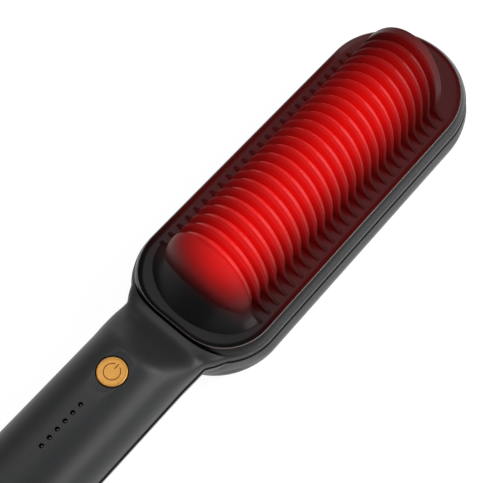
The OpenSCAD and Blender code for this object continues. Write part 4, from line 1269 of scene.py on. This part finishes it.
class HAIRBRUSH_OT_inner_parts(PieceOperator):
    """Gives the CAD parts that stay their own finishes"""

    bl_idname = "hairbrush.inner_parts"
    bl_label = "Inner parts"

    def make(self, size, colours):
        # The heating plate's painted glow: Reach, Spill and Deck spread its emission
        reach = {"Reach": 0.0130, "Spill": 0.20, "Deck": 0.02}
        finishes = {
            "heating_plate": painted_glow_metal("hot aluminium", (0.013, 0.011, 0.011), colours.glow, strength=0.80, **reach),
            "plate_gasket": glazed(
                "gasket silicone", (0.45, 0.36, 0.22), (0.52, 0.42, 0.27), scale=1500.0, roughness=0.6
            ),
            "ceramic_heater": glazed(
                "white ceramic", (0.78, 0.75, 0.69), (0.70, 0.66, 0.60), scale=1200.0, roughness=0.4
            ),
            "mica_sheet": glazed("mica", (0.55, 0.44, 0.24), (0.72, 0.62, 0.42), scale=500.0, roughness=0.28),
            "heater_clamp": brushed_metal("spring steel", (0.42, 0.43, 0.45), roughness=0.3),
            "clamp_screws": brushed_metal("screw steel", (0.58, 0.58, 0.59), roughness=0.25, lines=1400.0),
            "heat_shield": brushed_metal("shield aluminium", (0.70, 0.71, 0.73), roughness=0.36),
            "thermal_fuse": glazed("fuse glaze", (0.62, 0.57, 0.48), (0.70, 0.66, 0.58), scale=2000.0, roughness=0.35),
            "thermistor": glazed("bead glass", (0.02, 0.14, 0.07), (0.03, 0.20, 0.11), scale=1600.0, roughness=0.12),
            "heater_leads": brushed_metal("tinned wire", (0.66, 0.67, 0.69), roughness=0.28, lines=3500.0),
            "circuit_board": circuit_laminate("board laminate"),
            "tact_switch": moulded_plastic("switch plastic", (0.016, 0.016, 0.017), roughness=0.5),
            "switch_plunger": moulded_plastic("pale plastic", (0.74, 0.72, 0.67), roughness=0.4),
            "status_leds": glazed("light emitter", (0.86, 0.83, 0.70), (0.93, 0.90, 0.80), scale=1800.0, roughness=0.2),
            "control_chip": moulded_plastic("chip resin", (0.010, 0.010, 0.011), roughness=0.55, grain=0.0002),
            "triac": moulded_plastic("triac resin", (0.013, 0.013, 0.015), roughness=0.5, grain=0.0002),
            "filter_capacitor": glazed(
                "capacitor resin", (0.52, 0.32, 0.04), (0.60, 0.40, 0.07), scale=900.0, roughness=0.3
            ),
            "terminal_block": moulded_plastic("terminal plastic", (0.02, 0.13, 0.25), roughness=0.4),
            "shell_screws": brushed_metal("dark screw steel", (0.07, 0.07, 0.075), roughness=0.35, lines=1600.0),
            "swivel_collar": moulded_plastic("collar plastic", (0.70, 0.67, 0.60), roughness=0.4),
        }
        finishes["plate_screws"] = finishes["board_screws"] = finishes["clamp_screws"]
        for node, material in finishes.items():
            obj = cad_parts[node]
            obj.data.materials.clear()
            obj.data.materials.append(material)


class HAIRBRUSH_PT_panel(bpy.types.Panel):
    """Lists the brush's operators, sizes and colours"""

    bl_idname = "HAIRBRUSH_PT_panel"
    bl_label = "Hair straightening brush"
    bl_space_type = "VIEW_3D"
    bl_region_type = "UI"
    bl_category = "Brush"

    def draw(self, context):
        column = self.layout.column(align=True)
        for operator in OPERATORS:
            column.operator(operator.bl_idname)
        for group in (context.scene.brush_sizes, context.scene.brush_colours):
            column.separator()
            for key in values_of(group):
                column.prop(group, key)


OPERATORS = (
    HAIRBRUSH_OT_stage,
    HAIRBRUSH_OT_shells,
    HAIRBRUSH_OT_comb_frame,
    HAIRBRUSH_OT_ribs,
    HAIRBRUSH_OT_button,
    HAIRBRUSH_OT_lights,
    HAIRBRUSH_OT_cord_outlet,
    HAIRBRUSH_OT_inner_parts,
)
CLASSES = (BrushSizes, BrushColours, *OPERATORS, HAIRBRUSH_PT_panel)


def register():
    """Registers the classes, and the sizes and colours as settings of the scene."""
    for each in CLASSES:
        bpy.utils.register_class(each)
    bpy.types.Scene.brush_sizes = bpy.props.PointerProperty(type=BrushSizes)
    bpy.types.Scene.brush_colours = bpy.props.PointerProperty(type=BrushColours)


def unregister():
    """Takes the settings and the classes away again."""
    del bpy.types.Scene.brush_colours
    del bpy.types.Scene.brush_sizes
    for each in reversed(CLASSES):
        bpy.utils.unregister_class(each)


def main():
    register()
    for operator in OPERATORS:
        module, name = operator.bl_idname.split(".")
        getattr(getattr(bpy.ops, module), name)()


if __name__ == "__main__":
    main()
